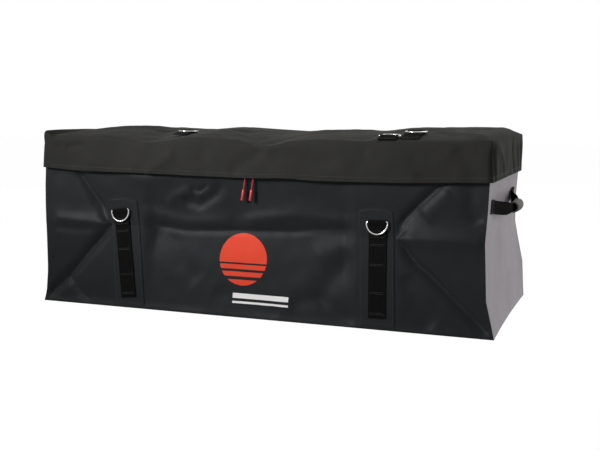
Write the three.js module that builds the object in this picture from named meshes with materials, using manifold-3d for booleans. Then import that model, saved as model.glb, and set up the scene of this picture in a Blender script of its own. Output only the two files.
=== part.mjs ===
// Roof cargo bag: a boxy tarpaulin bag, packed full, with a zipped lid under a rain flap.
// Millimetres, +Z up, front towards -Y. The origin is the centre of the base, on the floor.
import * as THREE from "three";
import Module from "manifold-3d";
import { mergeVertices } from "three/addons/utils/BufferGeometryUtils.js";

const wasm = await Module();
wasm.setup();

// Cloth box
const WALL_HEIGHT = 500;
const BASE_HALF_LENGTH = 671.8;
const END_TAPER = 27.8;
const TOP_HALF_WIDTH = 272;
const WIDER_THAN_TOP = [[0, 20.1], [0.6, 4.4], [0.84, 3.3], [1, 0]];
const SHEET = 1.5;
const GAP = 0.3;
const BASE_BOW = 4;
const END_HOLLOW = { left: 21, right: 6 };

// Envelope fold of the front and back walls
const FOLD_Z = 240;
const FOLD_TOP_Z = 398;
const FOLD_DEPTH = 22;
const PATCH_FOLD_DEPTH = 9;
const FOLD_APEX_IN = { left: 222.8, right: 261.8 };
const FOLD_TO_PATCH = 26;
const RIDGE_HEIGHT = 3;
const FOLD_SOFTNESS = 1.15;

// How far each upright corner is pinched in, or stands out where it is negative, as pairs of
// height share and millimetres
const CORNER_PINCH = {
  front_right: [[0, 0], [0.19, 18], [0.48, 17], [0.65, 8], [0.78, 2], [1, 0]],
  back_right: [[0, 0], [0.22, 0], [0.38, 12], [0.47, 18], [0.63, 13], [0.78, 4], [1, 0]],
  front_left: [[0, -5], [0.07, -0.7], [0.17, 0.6], [0.22, -0.3], [0.41, -7.6], [0.6, -14.9], [0.79, -19.6], [1, -24.5]],
  back_left: [[0, -4], [0.17, 2], [0.35, 2], [0.5, -5], [0.65, -14], [0.79, -18], [1, -24.5]],
};

// Zip round the front and both ends
const ZIP_Z = 418;
const ZIP_SLIT = 1.6;
const CHAIN_HEIGHT = 3.7;
const CHAIN_THICKNESS = 3.4;
const TAPE_THICKNESS = 0.8;
const TAPE_HEIGHT = 17;
const WALL_TO_ZIP = 6;
const ZIP_CORNER_RADIUS = 14;
const GUSSET = 32;
const STOP_LENGTH = 5;
const STOP_CLEARANCE = 3.3;

// Lid with its rain flap
const LID_OVER_END = { left: 28, right: 12 };
const LID_OVER_FRONT = 9;
const LID_OVER_BACK = 1;
const FLAP_FLARE_FRONT = 11;
const FLAP_FLARE_END = 1.5;
const FLAP_CORNER_RADIUS = 16;
// Heights along the lid, against the share of its half length
const FRONT_EDGE_Z = [
  [-1, 501], [-0.97, 491], [-0.854, 493], [-0.721, 497], [-0.63, 491], [-0.526, 483], [-0.396, 483],
  [-0.3125, 491], [-0.2287, 494], [-0.0884, 488], [0.0564, 477], [0.183, 487], [0.331, 493],
  [0.56, 492], [0.834, 492], [1, 499],
];
const CROWN = [
  [-1, 8], [-0.915, 22], [-0.524, 18], [-0.256, 17], [0.152, 20], [0.395, 20], [0.627, 26],
  [0.915, 24], [0.975, 19], [1, 12],
];
const HEM_Z = [
  [-1, 403], [-0.854, 397], [-0.721, 395], [-0.534, 394], [-0.305, 391.5], [0, 389], [0.152, 391],
  [0.305, 387], [0.643, 388], [1, 394],
];
const END_HEM_REAR_Z = 390;

// Webbing, its patches and the D-rings
const WEBBING_WIDTH = 48;
const WEBBING = 1.6;
const PATCH_WIDTH = 96;
const PATCH_MARGIN = 4;
const PATCH_BOTTOM_Z = 10;
const PATCH_TOP_Z = 320;
const PATCH_ARCH = 9;
const STRAP_BOTTOM_Z = 30;
const RING_BAR_Z = 284;
const LONG_WALL_STRAPS = [
  { side: "left", fromPatch: -17, lean: 7 },
  { side: "right", fromPatch: 2, lean: 1.5 },
];
const STRAP_TAIL = 45;
const LOOP_CLOSED = 14;
const RING_WIRE = 2.5;
const RING_HALF_WIDTH = 28.5;
const RING_CORNER = 4;
const RING_DROP = 33;
const LID_STRAP_LIFT = 0.5;
const LID_RING_LIFT = 1;
const LID_STRAPS = [
  { side: "left", x: -250, fromFront: 131, length: 62, bow: -1 },
  { side: "right", x: 438, fromFront: 105, length: 88, bow: -1 },
  { side: "edge", x: 382, fromFront: 33, length: 27, bow: 1 },
];

// End handles
const HANDLE_WIDTH = 36;
const HANDLE_Z = 326;
const HANDLE_SAG = 15;
const HANDLE_SEWN_Y = 220;
const HANDLE_FREE_Y = 188;
const SEWN_LIFT = 0.8;
const GRIP_OFF_WALL = 27.3;
const GRIP_LENGTH = 104;
const GRIP_BOW = 4;
const GRIP_RADIUS = 15;
const GRIP_BORE = 10.8;

// Sliders and pulls
const SLIDER_X = 12;
const SLIDER_LENGTH = 19;
const PLATE = 1.7;
const PLATE_BELOW = 7.2;
const PLATE_ABOVE = 3.4;
const BRIDGE = 1;
const BAIL_WIRE = 1;
const BAIL_REACH = 7.2;
const TAB_REACH = 3.9;
const TAB_WIDTH = 8;
const TAB_LENGTH = 25;
const TAB = 1.6;
const TAB_BAR = 2.6;
const CORD_RADIUS = 1.2;
const CORD_BOTTOM_Z = 356;
const PULL_BOTTOM_Z = 326;
const PULL_LEAN = 11.5;
const PULL_END_FLATNESS = 0.82;

const colours = {
  cloth: [0x2b2d2f, 0.55, 0],
  lid: [0x38352f, 0.55, 0],
  end_cloth: [0x8f8b90, 0.6, 0],
  webbing: [0x151412, 0.9, 0],
  grip: [0x6b6763, 0.8, 0],
  zip: [0x1a1a1b, 0.6, 0],
  steel: [0xc4c2be, 0.3, 1],
  red: [0xc0303a, 0.5, 0],
};

const bag = new THREE.Group();

function add(name, geometry, colour) {
  const [hex, roughness, metalness] = colours[colour];
  const material = new THREE.MeshStandardMaterial({ color: hex, roughness, metalness });
  const mesh = new THREE.Mesh(geometry, material);
  mesh.name = name;
  bag.add(mesh);
  return mesh;
}

const lerp = THREE.MathUtils.lerp;

// Straight-line reading of a table of [place, value] pairs.
function read(table, place) {
  if (place <= table[0][0]) return table[0][1];
  for (let i = 1; i < table.length; i++) {
    const [before, from] = table[i - 1];
    const [after, to] = table[i];
    if (place <= after) return lerp(from, to, (place - before) / (after - before));
  }
  return table[table.length - 1][1];
}

function spread(from, to, count) {
  return Array.from({ length: count + 1 }, (_, i) => lerp(from, to, i / count));
}

// A closed sheet over a grid of stops, its two faces given as functions of the stops.
function sheet(uStops, vStops, outer, inner) {
  const geometry = new THREE.BoxGeometry(1, 1, 1, uStops.length - 1, vStops.length - 1, 1);
  const position = geometry.getAttribute("position");
  for (let i = 0; i < position.count; i++) {
    const u = uStops[Math.round((position.getX(i) + 0.5) * (uStops.length - 1))];
    const v = vStops[Math.round((position.getY(i) + 0.5) * (vStops.length - 1))];
    const face = position.getZ(i) > 0 ? outer : inner;
    position.setXYZ(i, ...face(u, v));
  }
  return geometry;
}

// Form of the walls
const baseZ = SHEET + GAP;
const wallTopZ = ZIP_Z - WALL_TO_ZIP;
const topHalfLength = BASE_HALF_LENGTH - END_TAPER;
const foldApexX = {
  left: BASE_HALF_LENGTH - FOLD_APEX_IN.left,
  right: BASE_HALF_LENGTH - FOLD_APEX_IN.right,
};
const lidReachX = {
  left: topHalfLength + LID_OVER_END.left,
  right: topHalfLength + LID_OVER_END.right,
};
const gussetShare = 1 - GUSSET / TOP_HALF_WIDTH;
const lidFrontY = -TOP_HALF_WIDTH - LID_OVER_FRONT;
const lidRearY = TOP_HALF_WIDTH + LID_OVER_BACK;

function halfWidth(z) {
  return TOP_HALF_WIDTH + read(WIDER_THAN_TOP, z / WALL_HEIGHT);
}

function cornerX(face, side, z) {
  const pinch = read(CORNER_PINCH[face + "_" + side], z / WALL_HEIGHT);
  return lerp(BASE_HALF_LENGTH, topHalfLength, z / WALL_HEIGHT) - pinch;
}

// Depth of the envelope fold: a valley across the middle, valleys at 45 degrees from its
// apexes to the corners, and a low ridge between each pair of them.
function foldDepth(x, z) {
  const reach = z > FOLD_Z ? FOLD_TOP_Z - FOLD_Z : FOLD_Z;
  const height = Math.min(1, Math.abs(z - FOLD_Z) / reach);
  const apex = foldApexX[x < 0 ? "left" : "right"];
  const out = (Math.abs(x) - apex) / reach;
  if (out <= 0) {
    const stiffFrom = apex - PATCH_WIDTH - 2 * PATCH_MARGIN;
    const toPatch = THREE.MathUtils.clamp((Math.abs(x) - stiffFrom) / FOLD_TO_PATCH + 1, 0, 1);
    return lerp(FOLD_DEPTH, PATCH_FOLD_DEPTH, toPatch) * (1 - height) ** FOLD_SOFTNESS;
  }
  if (height >= out) return PATCH_FOLD_DEPTH * (1 - height) ** FOLD_SOFTNESS;
  const valley = PATCH_FOLD_DEPTH * Math.max(0, 1 - out) ** FOLD_SOFTNESS;
  const share = height / Math.min(1, out);
  return valley * share - RIDGE_HEIGHT * Math.min(1, out) * (1 - share);
}

function longWallY(x, z) {
  return halfWidth(z) - foldDepth(x, z);
}

// Outer face of an end wall: it hollows between its two upright corners.
function endWallX(side, y, z) {
  const share = (y / halfWidth(z) + 1) / 2;
  const bow = lerp(BASE_BOW, END_HOLLOW[side], Math.min(1, z / FOLD_Z));
  const edge = lerp(cornerX("front", side, z), cornerX("back", side, z), share);
  return edge - bow * Math.max(0, 1 - (2 * share - 1) ** 2);
}

// Stops along a long wall: up to 1 they run to the fold's apex, and from 1 to 2 on to the corner.
function longStops(side) {
  const apex = foldApexX[side];
  const stiffFrom = apex - PATCH_WIDTH - 2 * PATCH_MARGIN;
  const inner = [0, 105, 200, stiffFrom - FOLD_TO_PATCH, stiffFrom, stiffFrom + 38, apex - 38, apex];
  return [...inner.map((x) => x / apex), ...spread(1, 2, 8).slice(1)];
}

function longX(face, side, stop, z) {
  const apex = foldApexX[side];
  return stop <= 1 ? stop * apex : lerp(apex, cornerX(face, side, z), stop - 1);
}

const lowStops = [baseZ, ...spread(0, FOLD_Z, 8).slice(1)];
const highStops = spread(FOLD_Z, FOLD_TOP_Z, 6).slice(1);

for (const face of ["front", "back"]) {
  const out = face === "front" ? -1 : 1;
  const topZ = face === "front" ? wallTopZ : WALL_HEIGHT - SHEET - GAP;
  const surface = (inset) => (u, z) => {
    const across = -out * u;
    const side = across < 0 ? "left" : "right";
    const x = Math.sign(across) * longX(face, side, Math.abs(across), z);
    return [x, out * (longWallY(x, z) - inset), z];
  };
  const [first, last] = face === "front" ? ["left", "right"] : ["right", "left"];
  const along = [...longStops(first).slice(1).reverse().map((u) => -u), ...longStops(last)];
  const stops = [...lowStops, ...highStops, wallTopZ, ...(topZ > wallTopZ ? [topZ] : [])];
  add(face + "_panel", sheet(along, stops, surface(0), surface(SHEET)), "cloth");
}

// End walls stand between the long walls. At the back each one runs up past the zip as a gusset.
const endStops = [-0.9, -0.75, -0.5, -0.25, 0, 0.25, 0.5, 0.75];
for (const side of ["left", "right"]) {
  const out = side === "left" ? -1 : 1;
  const place = (u, z) => {
    const along = out * u;
    const x = cornerX(along < 0 ? "front" : "back", side, z);
    return along * (longWallY(out * x, z) - SHEET - GAP);
  };
  const rearTop = WALL_HEIGHT - SHEET - GAP;
  const surface = (inset) => (u, v) => {
    const z = v <= 1 ? v * FOLD_TOP_Z + (1 - v) * baseZ
      : lerp(FOLD_TOP_Z, out * u > gussetShare ? rearTop : wallTopZ, v - 1);
    const y = place(u, z);
    return [out * (endWallX(side, y, z) - inset), y, z];
  };
  const rise = gussetShare + 0.006;
  const halfStops = [-1, ...endStops, gussetShare, rise, 1];
  const uStops = side === "left" ? halfStops.map((s) => -s).reverse() : halfStops;
  const zShares = [...lowStops, ...highStops].map((z) => (z - baseZ) / (FOLD_TOP_Z - baseZ));
  add(side + "_end_panel", sheet(uStops, [...zShares, 2], surface(0), surface(SHEET)), "end_cloth");
}

// Base, flat on the floor, cut to the foot line of the walls
{
  const rim = (u, v, z) => {
    const side = u < 0 ? "left" : "right";
    const y = v * halfWidth(0);
    return [u * endWallX(side, y, 0), y, z];
  };
  const uStops = spread(-1, 1, 6);
  const vStops = spread(-1, 1, 6);
  const base = sheet(uStops, vStops, (u, v) => rim(u, v, SHEET), (u, v) => rim(u, v, 0));
  add("bottom_panel", base, "cloth");
}

// Lid: one sheet folded down at the front and both ends.
// u runs along the bag and passes 1 on an end flap, v runs front to back and passes 0 on the front.
const flapRadius = (depth) => FLAP_CORNER_RADIUS * Math.min(1, 3 * depth);
const lidShares = [
  -1, -0.97, -0.915, -0.854, -0.79, -0.721, -0.63, -0.526, -0.46, -0.396, -0.3125, -0.2287, -0.16,
  -0.0884, 0, 0.0564, 0.12, 0.183, 0.257, 0.331, 0.445, 0.56, 0.7, 0.834, 0.915, 0.975, 1,
];
const flapDepths = [1 / 3, 2 / 3, 1];
const lidStopsU = [
  ...flapDepths.map((d) => -1 - d).reverse(), ...lidShares, ...flapDepths.map((d) => 1 + d),
];
const topStopsV = [0, 0.06, 0.14, 0.24, 0.36, 0.5, 0.64, 0.76, 0.88, 1];
const lidStopsV = [...flapDepths.map((d) => -d).reverse(), ...topStopsV];

function lidTopZ(share, v) {
  const arch = (1 - (1 - 2 * v) ** 2) ** 0.75;
  return lerp(read(FRONT_EDGE_Z, share), WALL_HEIGHT, v) + read(CROWN, share) * arch;
}

function lidSurface(inset) {
  return (u, v) => {
    const endDepth = Math.max(0, Math.abs(u) - 1);
    const frontDepth = Math.max(0, -v);
    const depth = Math.max(endDepth, frontDepth);
    const radius = Math.max(0, flapRadius(depth) - inset);
    const hand = Math.sign(u);
    const reachX = lidReachX[hand < 0 ? "left" : "right"] + FLAP_FLARE_END * depth - inset;
    const reachY = -lidFrontY + FLAP_FLARE_FRONT * depth - inset;
    const share = THREE.MathUtils.clamp(u, -1, 1);
    const back = THREE.MathUtils.clamp(v, 0, 1);
    const edgeZ = lidTopZ(share, back) - inset;
    if (depth === 0) {
      return [share * reachX, lerp(-reachY, lidRearY, back), edgeZ];
    }
    const frontHem = read(HEM_Z, share);
    const z = lerp(edgeZ, lerp(frontHem, END_HEM_REAR_Z, back), depth);
    if (endDepth === 0) return [share * (reachX - radius), -reachY, z];
    if (frontDepth === 0) return [hand * reachX, lerp(-(reachY - radius), lidRearY, back), z];
    const turn = frontDepth >= endDepth
      ? (endDepth / frontDepth) * (Math.PI / 4)
      : Math.PI / 2 - (frontDepth / endDepth) * (Math.PI / 4);
    const x = reachX - radius + radius * Math.sin(turn);
    return [hand * x, -(reachY - radius + radius * Math.cos(turn)), z];
  };
}

add("lid_cover", sheet(lidStopsU, lidStopsV, lidSurface(0), lidSurface(SHEET)), "lid");

// Height of one of the lid's faces over a point, read from the triangles of its grid
function lidHeight(x, y, inset) {
  const reachX = lidReachX[x < 0 ? "left" : "right"] - inset;
  const reachY = -lidFrontY - inset;
  const share = THREE.MathUtils.clamp(x / reachX, -1, 1);
  const v = THREE.MathUtils.clamp((y + reachY) / (reachY + lidRearY), 0, 1);
  const i = Math.min(lidShares.length - 2, lidShares.findLastIndex((s) => s <= share));
  const j = Math.min(topStopsV.length - 2, topStopsV.findLastIndex((s) => s <= v));
  const [u0, u1] = [lidShares[i], lidShares[i + 1]];
  const [v0, v1] = [topStopsV[j], topStopsV[j + 1]];
  const s = (share - u0) / (u1 - u0);
  const t = (v - v0) / (v1 - v0);
  const [nearLeft, nearRight] = [lidTopZ(u0, v0), lidTopZ(u1, v0)];
  const [farLeft, farRight] = [lidTopZ(u0, v1), lidTopZ(u1, v1)];
  const low = nearLeft + s * (nearRight - nearLeft) + t * (farLeft - nearLeft);
  const high = farRight + (1 - s) * (farLeft - farRight) + (1 - t) * (nearRight - farRight);
  return (s + t <= 1 ? low : high) - inset;
}

const underLid = (x, y) => lidHeight(x, y, SHEET);

// Route of the zip in plan: along the left end, round the corner, along the front and back
// along the right end. Each station gives a point at height z, moved out of the wall's face.
const endWallHalf = halfWidth(ZIP_Z) - SHEET - GAP;
const zipRearY = gussetShare * endWallHalf - STOP_LENGTH - STOP_CLEARANCE;
const endStationsY = [zipRearY, ...[...endStops].reverse().map((share) => share * endWallHalf)];

function endStation(side, y) {
  const out = side === "left" ? -1 : 1;
  return (z, offset) => [out * (endWallX(side, y, z) + offset), y, z];
}

function cornerStation(side, turn) {
  const out = side === "left" ? -1 : 1;
  return (z, offset) => {
    const reach = ZIP_CORNER_RADIUS + offset;
    const y = -(longWallY(topHalfLength, z) - ZIP_CORNER_RADIUS) - reach * Math.cos(turn);
    const x = endWallX(side, y, z) - ZIP_CORNER_RADIUS + reach * Math.sin(turn);
    return [out * x, y, z];
  };
}

function frontStation(x) {
  return (z, offset) => [x, -(longWallY(x, z) + offset), z];
}

const turns = [75, 45, 15].map((degrees) => THREE.MathUtils.degToRad(degrees));
const frontStationsX = lidShares.map((s) => s * lidReachX[s < 0 ? "left" : "right"])
  .filter((x) => Math.abs(x) < cornerX("front", x < 0 ? "left" : "right", ZIP_Z) - ZIP_CORNER_RADIUS);
const stations = [
  ...endStationsY.map((y) => endStation("left", y)),
  ...turns.map((turn) => cornerStation("left", turn)),
  ...frontStationsX.map((x) => frontStation(x)),
  ...turns.map((turn) => cornerStation("right", turn)).reverse(),
  ...endStationsY.map((y) => endStation("right", y)).reverse(),
];
const stationStops = stations.map((_, i) => i);

// A strip along the zip's route: offsets are measured out of the wall's outer face.
function zipStrip(bottomZ, topZ, outerOffset, innerOffset) {
  const face = (offset) => (i, v) => {
    const station = stations[i];
    const [x, y] = station(bottomZ, offset);
    const top = typeof topZ === "function" ? topZ(x, y) : topZ;
    return station(lerp(bottomZ, top, v), offset);
  };
  return sheet(stationStops, [0, 1], face(outerOffset), face(innerOffset));
}

const tapeOut = -SHEET - GAP;
const tapeIn = tapeOut - TAPE_THICKNESS;
const tapeMid = (tapeOut + tapeIn) / 2;
const chainOut = tapeMid + CHAIN_THICKNESS / 2;
const chainIn = tapeMid - CHAIN_THICKNESS / 2;
const lowChainTop = ZIP_Z - ZIP_SLIT / 2;
const lowChainBottom = lowChainTop - CHAIN_HEIGHT;
const highChainBottom = ZIP_Z + ZIP_SLIT / 2;
const highChainTop = highChainBottom + CHAIN_HEIGHT;
const lowTape = [lowChainBottom - GAP - TAPE_HEIGHT, lowChainBottom - GAP];
const highTape = [highChainTop + GAP, highChainTop + GAP + TAPE_HEIGHT];
add("zip_tape_lower", zipStrip(...lowTape, tapeOut, tapeIn), "zip");
add("zip_chain_lower", zipStrip(lowChainBottom, lowChainTop, chainOut, chainIn), "zip");
add("zip_chain_upper", zipStrip(highChainBottom, highChainTop, chainOut, chainIn), "zip");
add("zip_tape_upper", zipStrip(...highTape, tapeOut, tapeIn), "zip");
const bandTop = (x, y) => Math.min(...[-5, 0, 5].map((step) => underLid(x + step, y))) - GAP - 0.3;
add("lid_inner_band", zipStrip(ZIP_Z + WALL_TO_ZIP, bandTop, 0, -SHEET), "end_cloth");

// Metal stops at the two rear ends of the zip
for (const side of ["left", "right"]) {
  const out = side === "left" ? -1 : 1;
  const y = zipRearY + GAP + STOP_LENGTH / 2;
  const depth = CHAIN_THICKNESS;
  const height = highChainTop - lowChainBottom;
  const stop = new THREE.BoxGeometry(depth, STOP_LENGTH, height);
  const mesh = add("zip_stop_" + side, stop, "steel");
  mesh.position.set(out * (endWallX(side, y, ZIP_Z) + tapeMid), y, ZIP_Z);
}

// Patches behind the straps, welded flat on the long walls, with an arched top edge
const patchCentre = (side) => foldApexX[side] - PATCH_MARGIN - PATCH_WIDTH / 2;
const patchLift = GAP + 0.2;
const strapLift = patchLift + SHEET + 0.2;
const patchLowest = [...lowStops, ...highStops].filter(
  (z) => z > PATCH_BOTTOM_Z && z < PATCH_TOP_Z - PATCH_ARCH - 2,
);
for (const face of ["front", "back"]) {
  const out = face === "front" ? -1 : 1;
  for (const side of ["left", "right"]) {
    const centre = side === "left" ? -patchCentre(side) : patchCentre(side);
    const surface = (offset) => (t, v) => {
      const x = centre - out * t * PATCH_WIDTH;
      const z = v === PATCH_TOP_Z ? v - PATCH_ARCH * (2 * t) ** 2 : v;
      return [x, out * (longWallY(x, z) + offset), z];
    };
    const tStops = [-0.5, -0.3, -0.1, 0.1, 0.3, 0.5];
    const zStops = [PATCH_BOTTOM_Z, ...patchLowest, PATCH_TOP_Z];
    const patch = sheet(tStops, zStops, surface(patchLift + SHEET), surface(patchLift));
    add(face + "_" + side + "_patch", patch, "cloth");
  }
}

// Webbing strap that folds over a ring's bar. Distances run from the bar along the strap,
// lifts are measured off the face that carries it.
const barLift = GAP + WEBBING + GAP + RING_WIRE;
const tailLift = GAP + WEBBING + GAP;

function strapSection(length) {
  const inner = RING_WIRE + GAP;
  const outer = inner + WEBBING;
  const pairs = [];
  const flats = Math.max(1, Math.round(length / 22));
  for (const d of spread(length, 4, flats)) {
    pairs.push([[d, GAP], [d, GAP + WEBBING]]);
  }
  for (const angle of spread(-90, 90, 8).map((a) => THREE.MathUtils.degToRad(a))) {
    const [along, lift] = [-Math.cos(angle), Math.sin(angle)];
    pairs.push([
      [along * outer, barLift + lift * outer],
      [along * inner, barLift + lift * inner],
    ]);
  }
  const tail = Math.min(STRAP_TAIL, length);
  for (const d of [LOOP_CLOSED, LOOP_CLOSED + 5, tail]) {
    pairs.push([[d, tailLift + WEBBING], [d, tailLift]]);
  }
  return pairs;
}

function strap(length, place) {
  const pairs = strapSection(length);
  const stops = pairs.map((_, i) => i);
  const face = (which) => (t, i) => place(-t * WEBBING_WIDTH, ...pairs[i][which]);
  return sheet([-0.5, 0.5], stops, face(0), face(1));
}

// D-ring: a straight bar, two small corners and a half ellipse, in its own frame with the bar
// along X through the origin and the bow towards -Z.
function ringPath() {
  const straight = RING_HALF_WIDTH - RING_CORNER;
  const points = [];
  const quarter = [0, 45, 90].map((a) => THREE.MathUtils.degToRad(a));
  for (const a of quarter) {
    points.push([straight + RING_CORNER * Math.sin(a), RING_CORNER * (Math.cos(a) - 1)]);
  }
  const bow = RING_DROP - RING_CORNER;
  for (const a of spread(0, Math.PI, 12).slice(1, -1)) {
    points.push([RING_HALF_WIDTH * Math.cos(a), -RING_CORNER - bow * Math.sin(a)]);
  }
  for (const a of [...quarter].reverse()) {
    points.push([-straight - RING_CORNER * Math.sin(a), RING_CORNER * (Math.cos(a) - 1)]);
  }
  return points;
}

function ring() {
  const path = ringPath();
  const count = path.length;
  const sides = 8;
  const geometry = new THREE.TorusGeometry(1, 0.25, sides, count);
  const position = geometry.getAttribute("position");
  for (let j = 0; j <= sides; j++) {
    for (let i = 0; i <= count; i++) {
      const [x, z] = path[i % count];
      const [xa, za] = path[(i + count - 1) % count];
      const [xb, zb] = path[(i + 1) % count];
      const tangent = new THREE.Vector2(xb - xa, zb - za).normalize();
      const angle = (j / sides) * Math.PI * 2;
      const out = RING_WIRE * Math.cos(angle);
      const up = RING_WIRE * Math.sin(angle);
      position.setXYZ(j * (count + 1) + i, x - tangent.y * out, up, z + tangent.x * out);
    }
  }
  return geometry;
}

// Height of a ring's bow over the strap that it lies on
const bowLift = tailLift + WEBBING + GAP + 0.1 + RING_WIRE;

for (const face of ["front", "back"]) {
  const out = face === "front" ? -1 : 1;
  for (const { side, fromPatch, lean } of LONG_WALL_STRAPS) {
    const slope = THREE.MathUtils.degToRad(lean);
    const centre = side === "left" ? -patchCentre(side) : patchCentre(side);
    const x = centre + fromPatch;
    const carrierY = (z) => longWallY(centre, z) + strapLift;
    const place = (t, d, lift) => {
      const across = t * Math.cos(slope) + d * Math.sin(slope);
      const z = RING_BAR_Z - d * Math.cos(slope) + t * Math.sin(slope);
      return [x + across, out * (carrierY(RING_BAR_Z - d) + lift), z];
    };
    const facing = out < 0 ? place : (t, d, lift) => place(-t, d, lift);
    const length = (RING_BAR_Z - STRAP_BOTTOM_Z) / Math.cos(slope);
    const barOut = carrierY(RING_BAR_Z) + barLift;
    const leans = spread(RING_DROP / 2, RING_DROP, 6).map(
      (d) => (carrierY(RING_BAR_Z - d) + bowLift - barOut) / d,
    );
    const ringRest = Math.asin(Math.max(...leans));
    add(face + "_" + side + "_strap", strap(length, facing), "webbing");
    const mesh = add(face + "_" + side + "_ring", ring(), "steel");
    mesh.rotation.order = "YXZ";
    mesh.rotation.set(out * ringRest, -slope, 0);
    mesh.position.set(x, out * barOut, RING_BAR_Z);
  }
}

// Short straps with rings on the lid. Each strap runs towards the front edge and follows the
// lid. The ring's bow lies forward on its strap, or backward on the lid.
for (const { side, x, fromFront, length, bow } of LID_STRAPS) {
  const barY = lidFrontY + fromFront;
  const across = spread(-WEBBING_WIDTH / 2, WEBBING_WIDTH / 2, 4);
  const topOver = (y) => Math.max(...across.map((t) => lidHeight(x + t, y, 0))) + LID_STRAP_LIFT;
  const slope = Math.atan2(topOver(barY + 6) - topOver(barY - 6), 12);
  const place = (t, d, lift) => {
    const foot = barY - d * Math.cos(slope);
    return [x + t, foot - lift * Math.sin(slope), topOver(foot) + lift * Math.cos(slope)];
  };
  add("lid_" + side + "_strap", strap(length, place), "webbing");
  const [, pinY, pinZ] = place(0, 0, barLift);
  const bowRest = bow < 0 ? bowLift + LID_RING_LIFT : RING_WIRE + GAP;
  const rise = topOver(pinY + bow * RING_DROP) + bowRest - pinZ;
  const pitch = Math.asin(rise / RING_DROP);
  const mesh = add("lid_" + side + "_ring", ring(), "steel");
  mesh.rotation.x = bow * (Math.PI / 2 + pitch);
  mesh.position.set(x, pinY, pinZ);
}

// End handles: a webbing band sewn flat at both ends that bows out and runs through a grip
const gripHalf = GRIP_LENGTH / 2;
const gripX = lerp(BASE_HALF_LENGTH, topHalfLength, HANDLE_Z / WALL_HEIGHT) + GRIP_OFF_WALL;
const gripBow = (y) => GRIP_BOW * (y / gripHalf) ** 2;

for (const side of ["left", "right"]) {
  const out = side === "left" ? -1 : 1;
  const half = HANDLE_WIDTH / 2;
  const gripEnd = gripHalf + 1;
  const narrowHalf = GRIP_BORE - 0.9;
  const station = (share) => {
    const a = Math.abs(share);
    const inGrip = a <= 1;
    const leave = THREE.MathUtils.clamp(a - 1, 0, 1);
    const y = a > 2 ? lerp(HANDLE_FREE_Y, HANDLE_SEWN_Y, a - 2)
      : inGrip ? a * gripEnd : lerp(gripEnd, HANDLE_FREE_Y, leave);
    const free = Math.min(1, y / HANDLE_FREE_Y);
    const ease = THREE.MathUtils.smoothstep(leave, 0, 1);
    const narrow = lerp(narrowHalf, half, Math.min(1, leave * 3));
    const z = HANDLE_Z - HANDLE_SAG * (1 - Math.max(0, (y - gripEnd) / (HANDLE_FREE_Y - gripEnd)) ** 2);
    return { y: Math.sign(share) * y, z: inGrip ? HANDLE_Z - HANDLE_SAG : free < 1 ? z : HANDLE_Z, narrow, ease };
  };
  const band = [0, 0.4, 0.7, 1, 1.08, 1.2, 1.35, 1.5, 1.65, 1.8, 1.9, 2, 2.4, 3];
  const shares = [...band.slice(1).reverse().map((s) => -s), ...band];
  const face = (offset) => (u, v) => {
    const { y, z, narrow, ease } = station(out * u);
    const height = z + v * narrow;
    const sewn = endWallX(side, y, height) + SEWN_LIFT;
    const loose = gripX - gripBow(Math.min(gripEnd, Math.abs(y))) - WEBBING / 2;
    return [out * (lerp(loose, sewn, ease) + offset), y, height];
  };
  const web = sheet(shares, [-1, 0, 1], face(WEBBING), face(0));
  add(side + "_handle_web", web, "webbing");

  const edge = GRIP_RADIUS - 2;
  const profile = [
    [GRIP_BORE, -0.5], [edge, -0.5], [GRIP_RADIUS, -0.47], [GRIP_RADIUS, -0.24], [GRIP_RADIUS, 0],
    [GRIP_RADIUS, 0.24], [GRIP_RADIUS, 0.47], [edge, 0.5], [GRIP_BORE, 0.5], [GRIP_BORE, 0.24],
    [GRIP_BORE, 0], [GRIP_BORE, -0.24], [GRIP_BORE, -0.5],
  ].map(([radius, share]) => new THREE.Vector2(radius, share * GRIP_LENGTH));
  const tube = new THREE.LatheGeometry(profile, 20);
  const position = tube.getAttribute("position");
  for (let i = 0; i < position.count; i++) {
    position.setX(i, position.getX(i) - out * gripBow(position.getY(i)));
  }
  const grip = add(side + "_handle_grip", tube, "grip");
  grip.position.set(out * gripX, 0, HANDLE_Z - HANDLE_SAG);
}

// Boolean join of placed closed meshes into one solid
function solid(geometry, x, y, z) {
  const placed = geometry.clone().translate(x, y, z);
  placed.deleteAttribute("normal");
  placed.deleteAttribute("uv");
  const merged = mergeVertices(placed, 1e-4);
  return new wasm.Manifold(new wasm.Mesh({
    numProp: 3,
    vertProperties: merged.getAttribute("position").array,
    triVerts: new Uint32Array(merged.index.array),
  }));
}

function geometryOf(made) {
  const { numProp, vertProperties, triVerts } = made.getMesh();
  const vertices = new Float32Array((vertProperties.length / numProp) * 3);
  for (let i = 0; i < vertices.length / 3; i++) {
    vertices.set(vertProperties.subarray(i * numProp, i * numProp + 3), i * 3);
  }
  const geometry = new THREE.BufferGeometry();
  geometry.setAttribute("position", new THREE.BufferAttribute(vertices, 3));
  geometry.setIndex(new THREE.BufferAttribute(triVerts, 1));
  return geometry;
}

// Zip sliders: a front and a back plate joined by a thin bridge between the two chains, and a
// bail on the front plate that holds the pull's tab. Y = 0 is the wall's outer face here.
const plateFace = GAP;
const bailMid = ZIP_Z - 2;
const tabLift = plateFace + PLATE + TAB_REACH;
const wallFaceY = -halfWidth(ZIP_Z);

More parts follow.
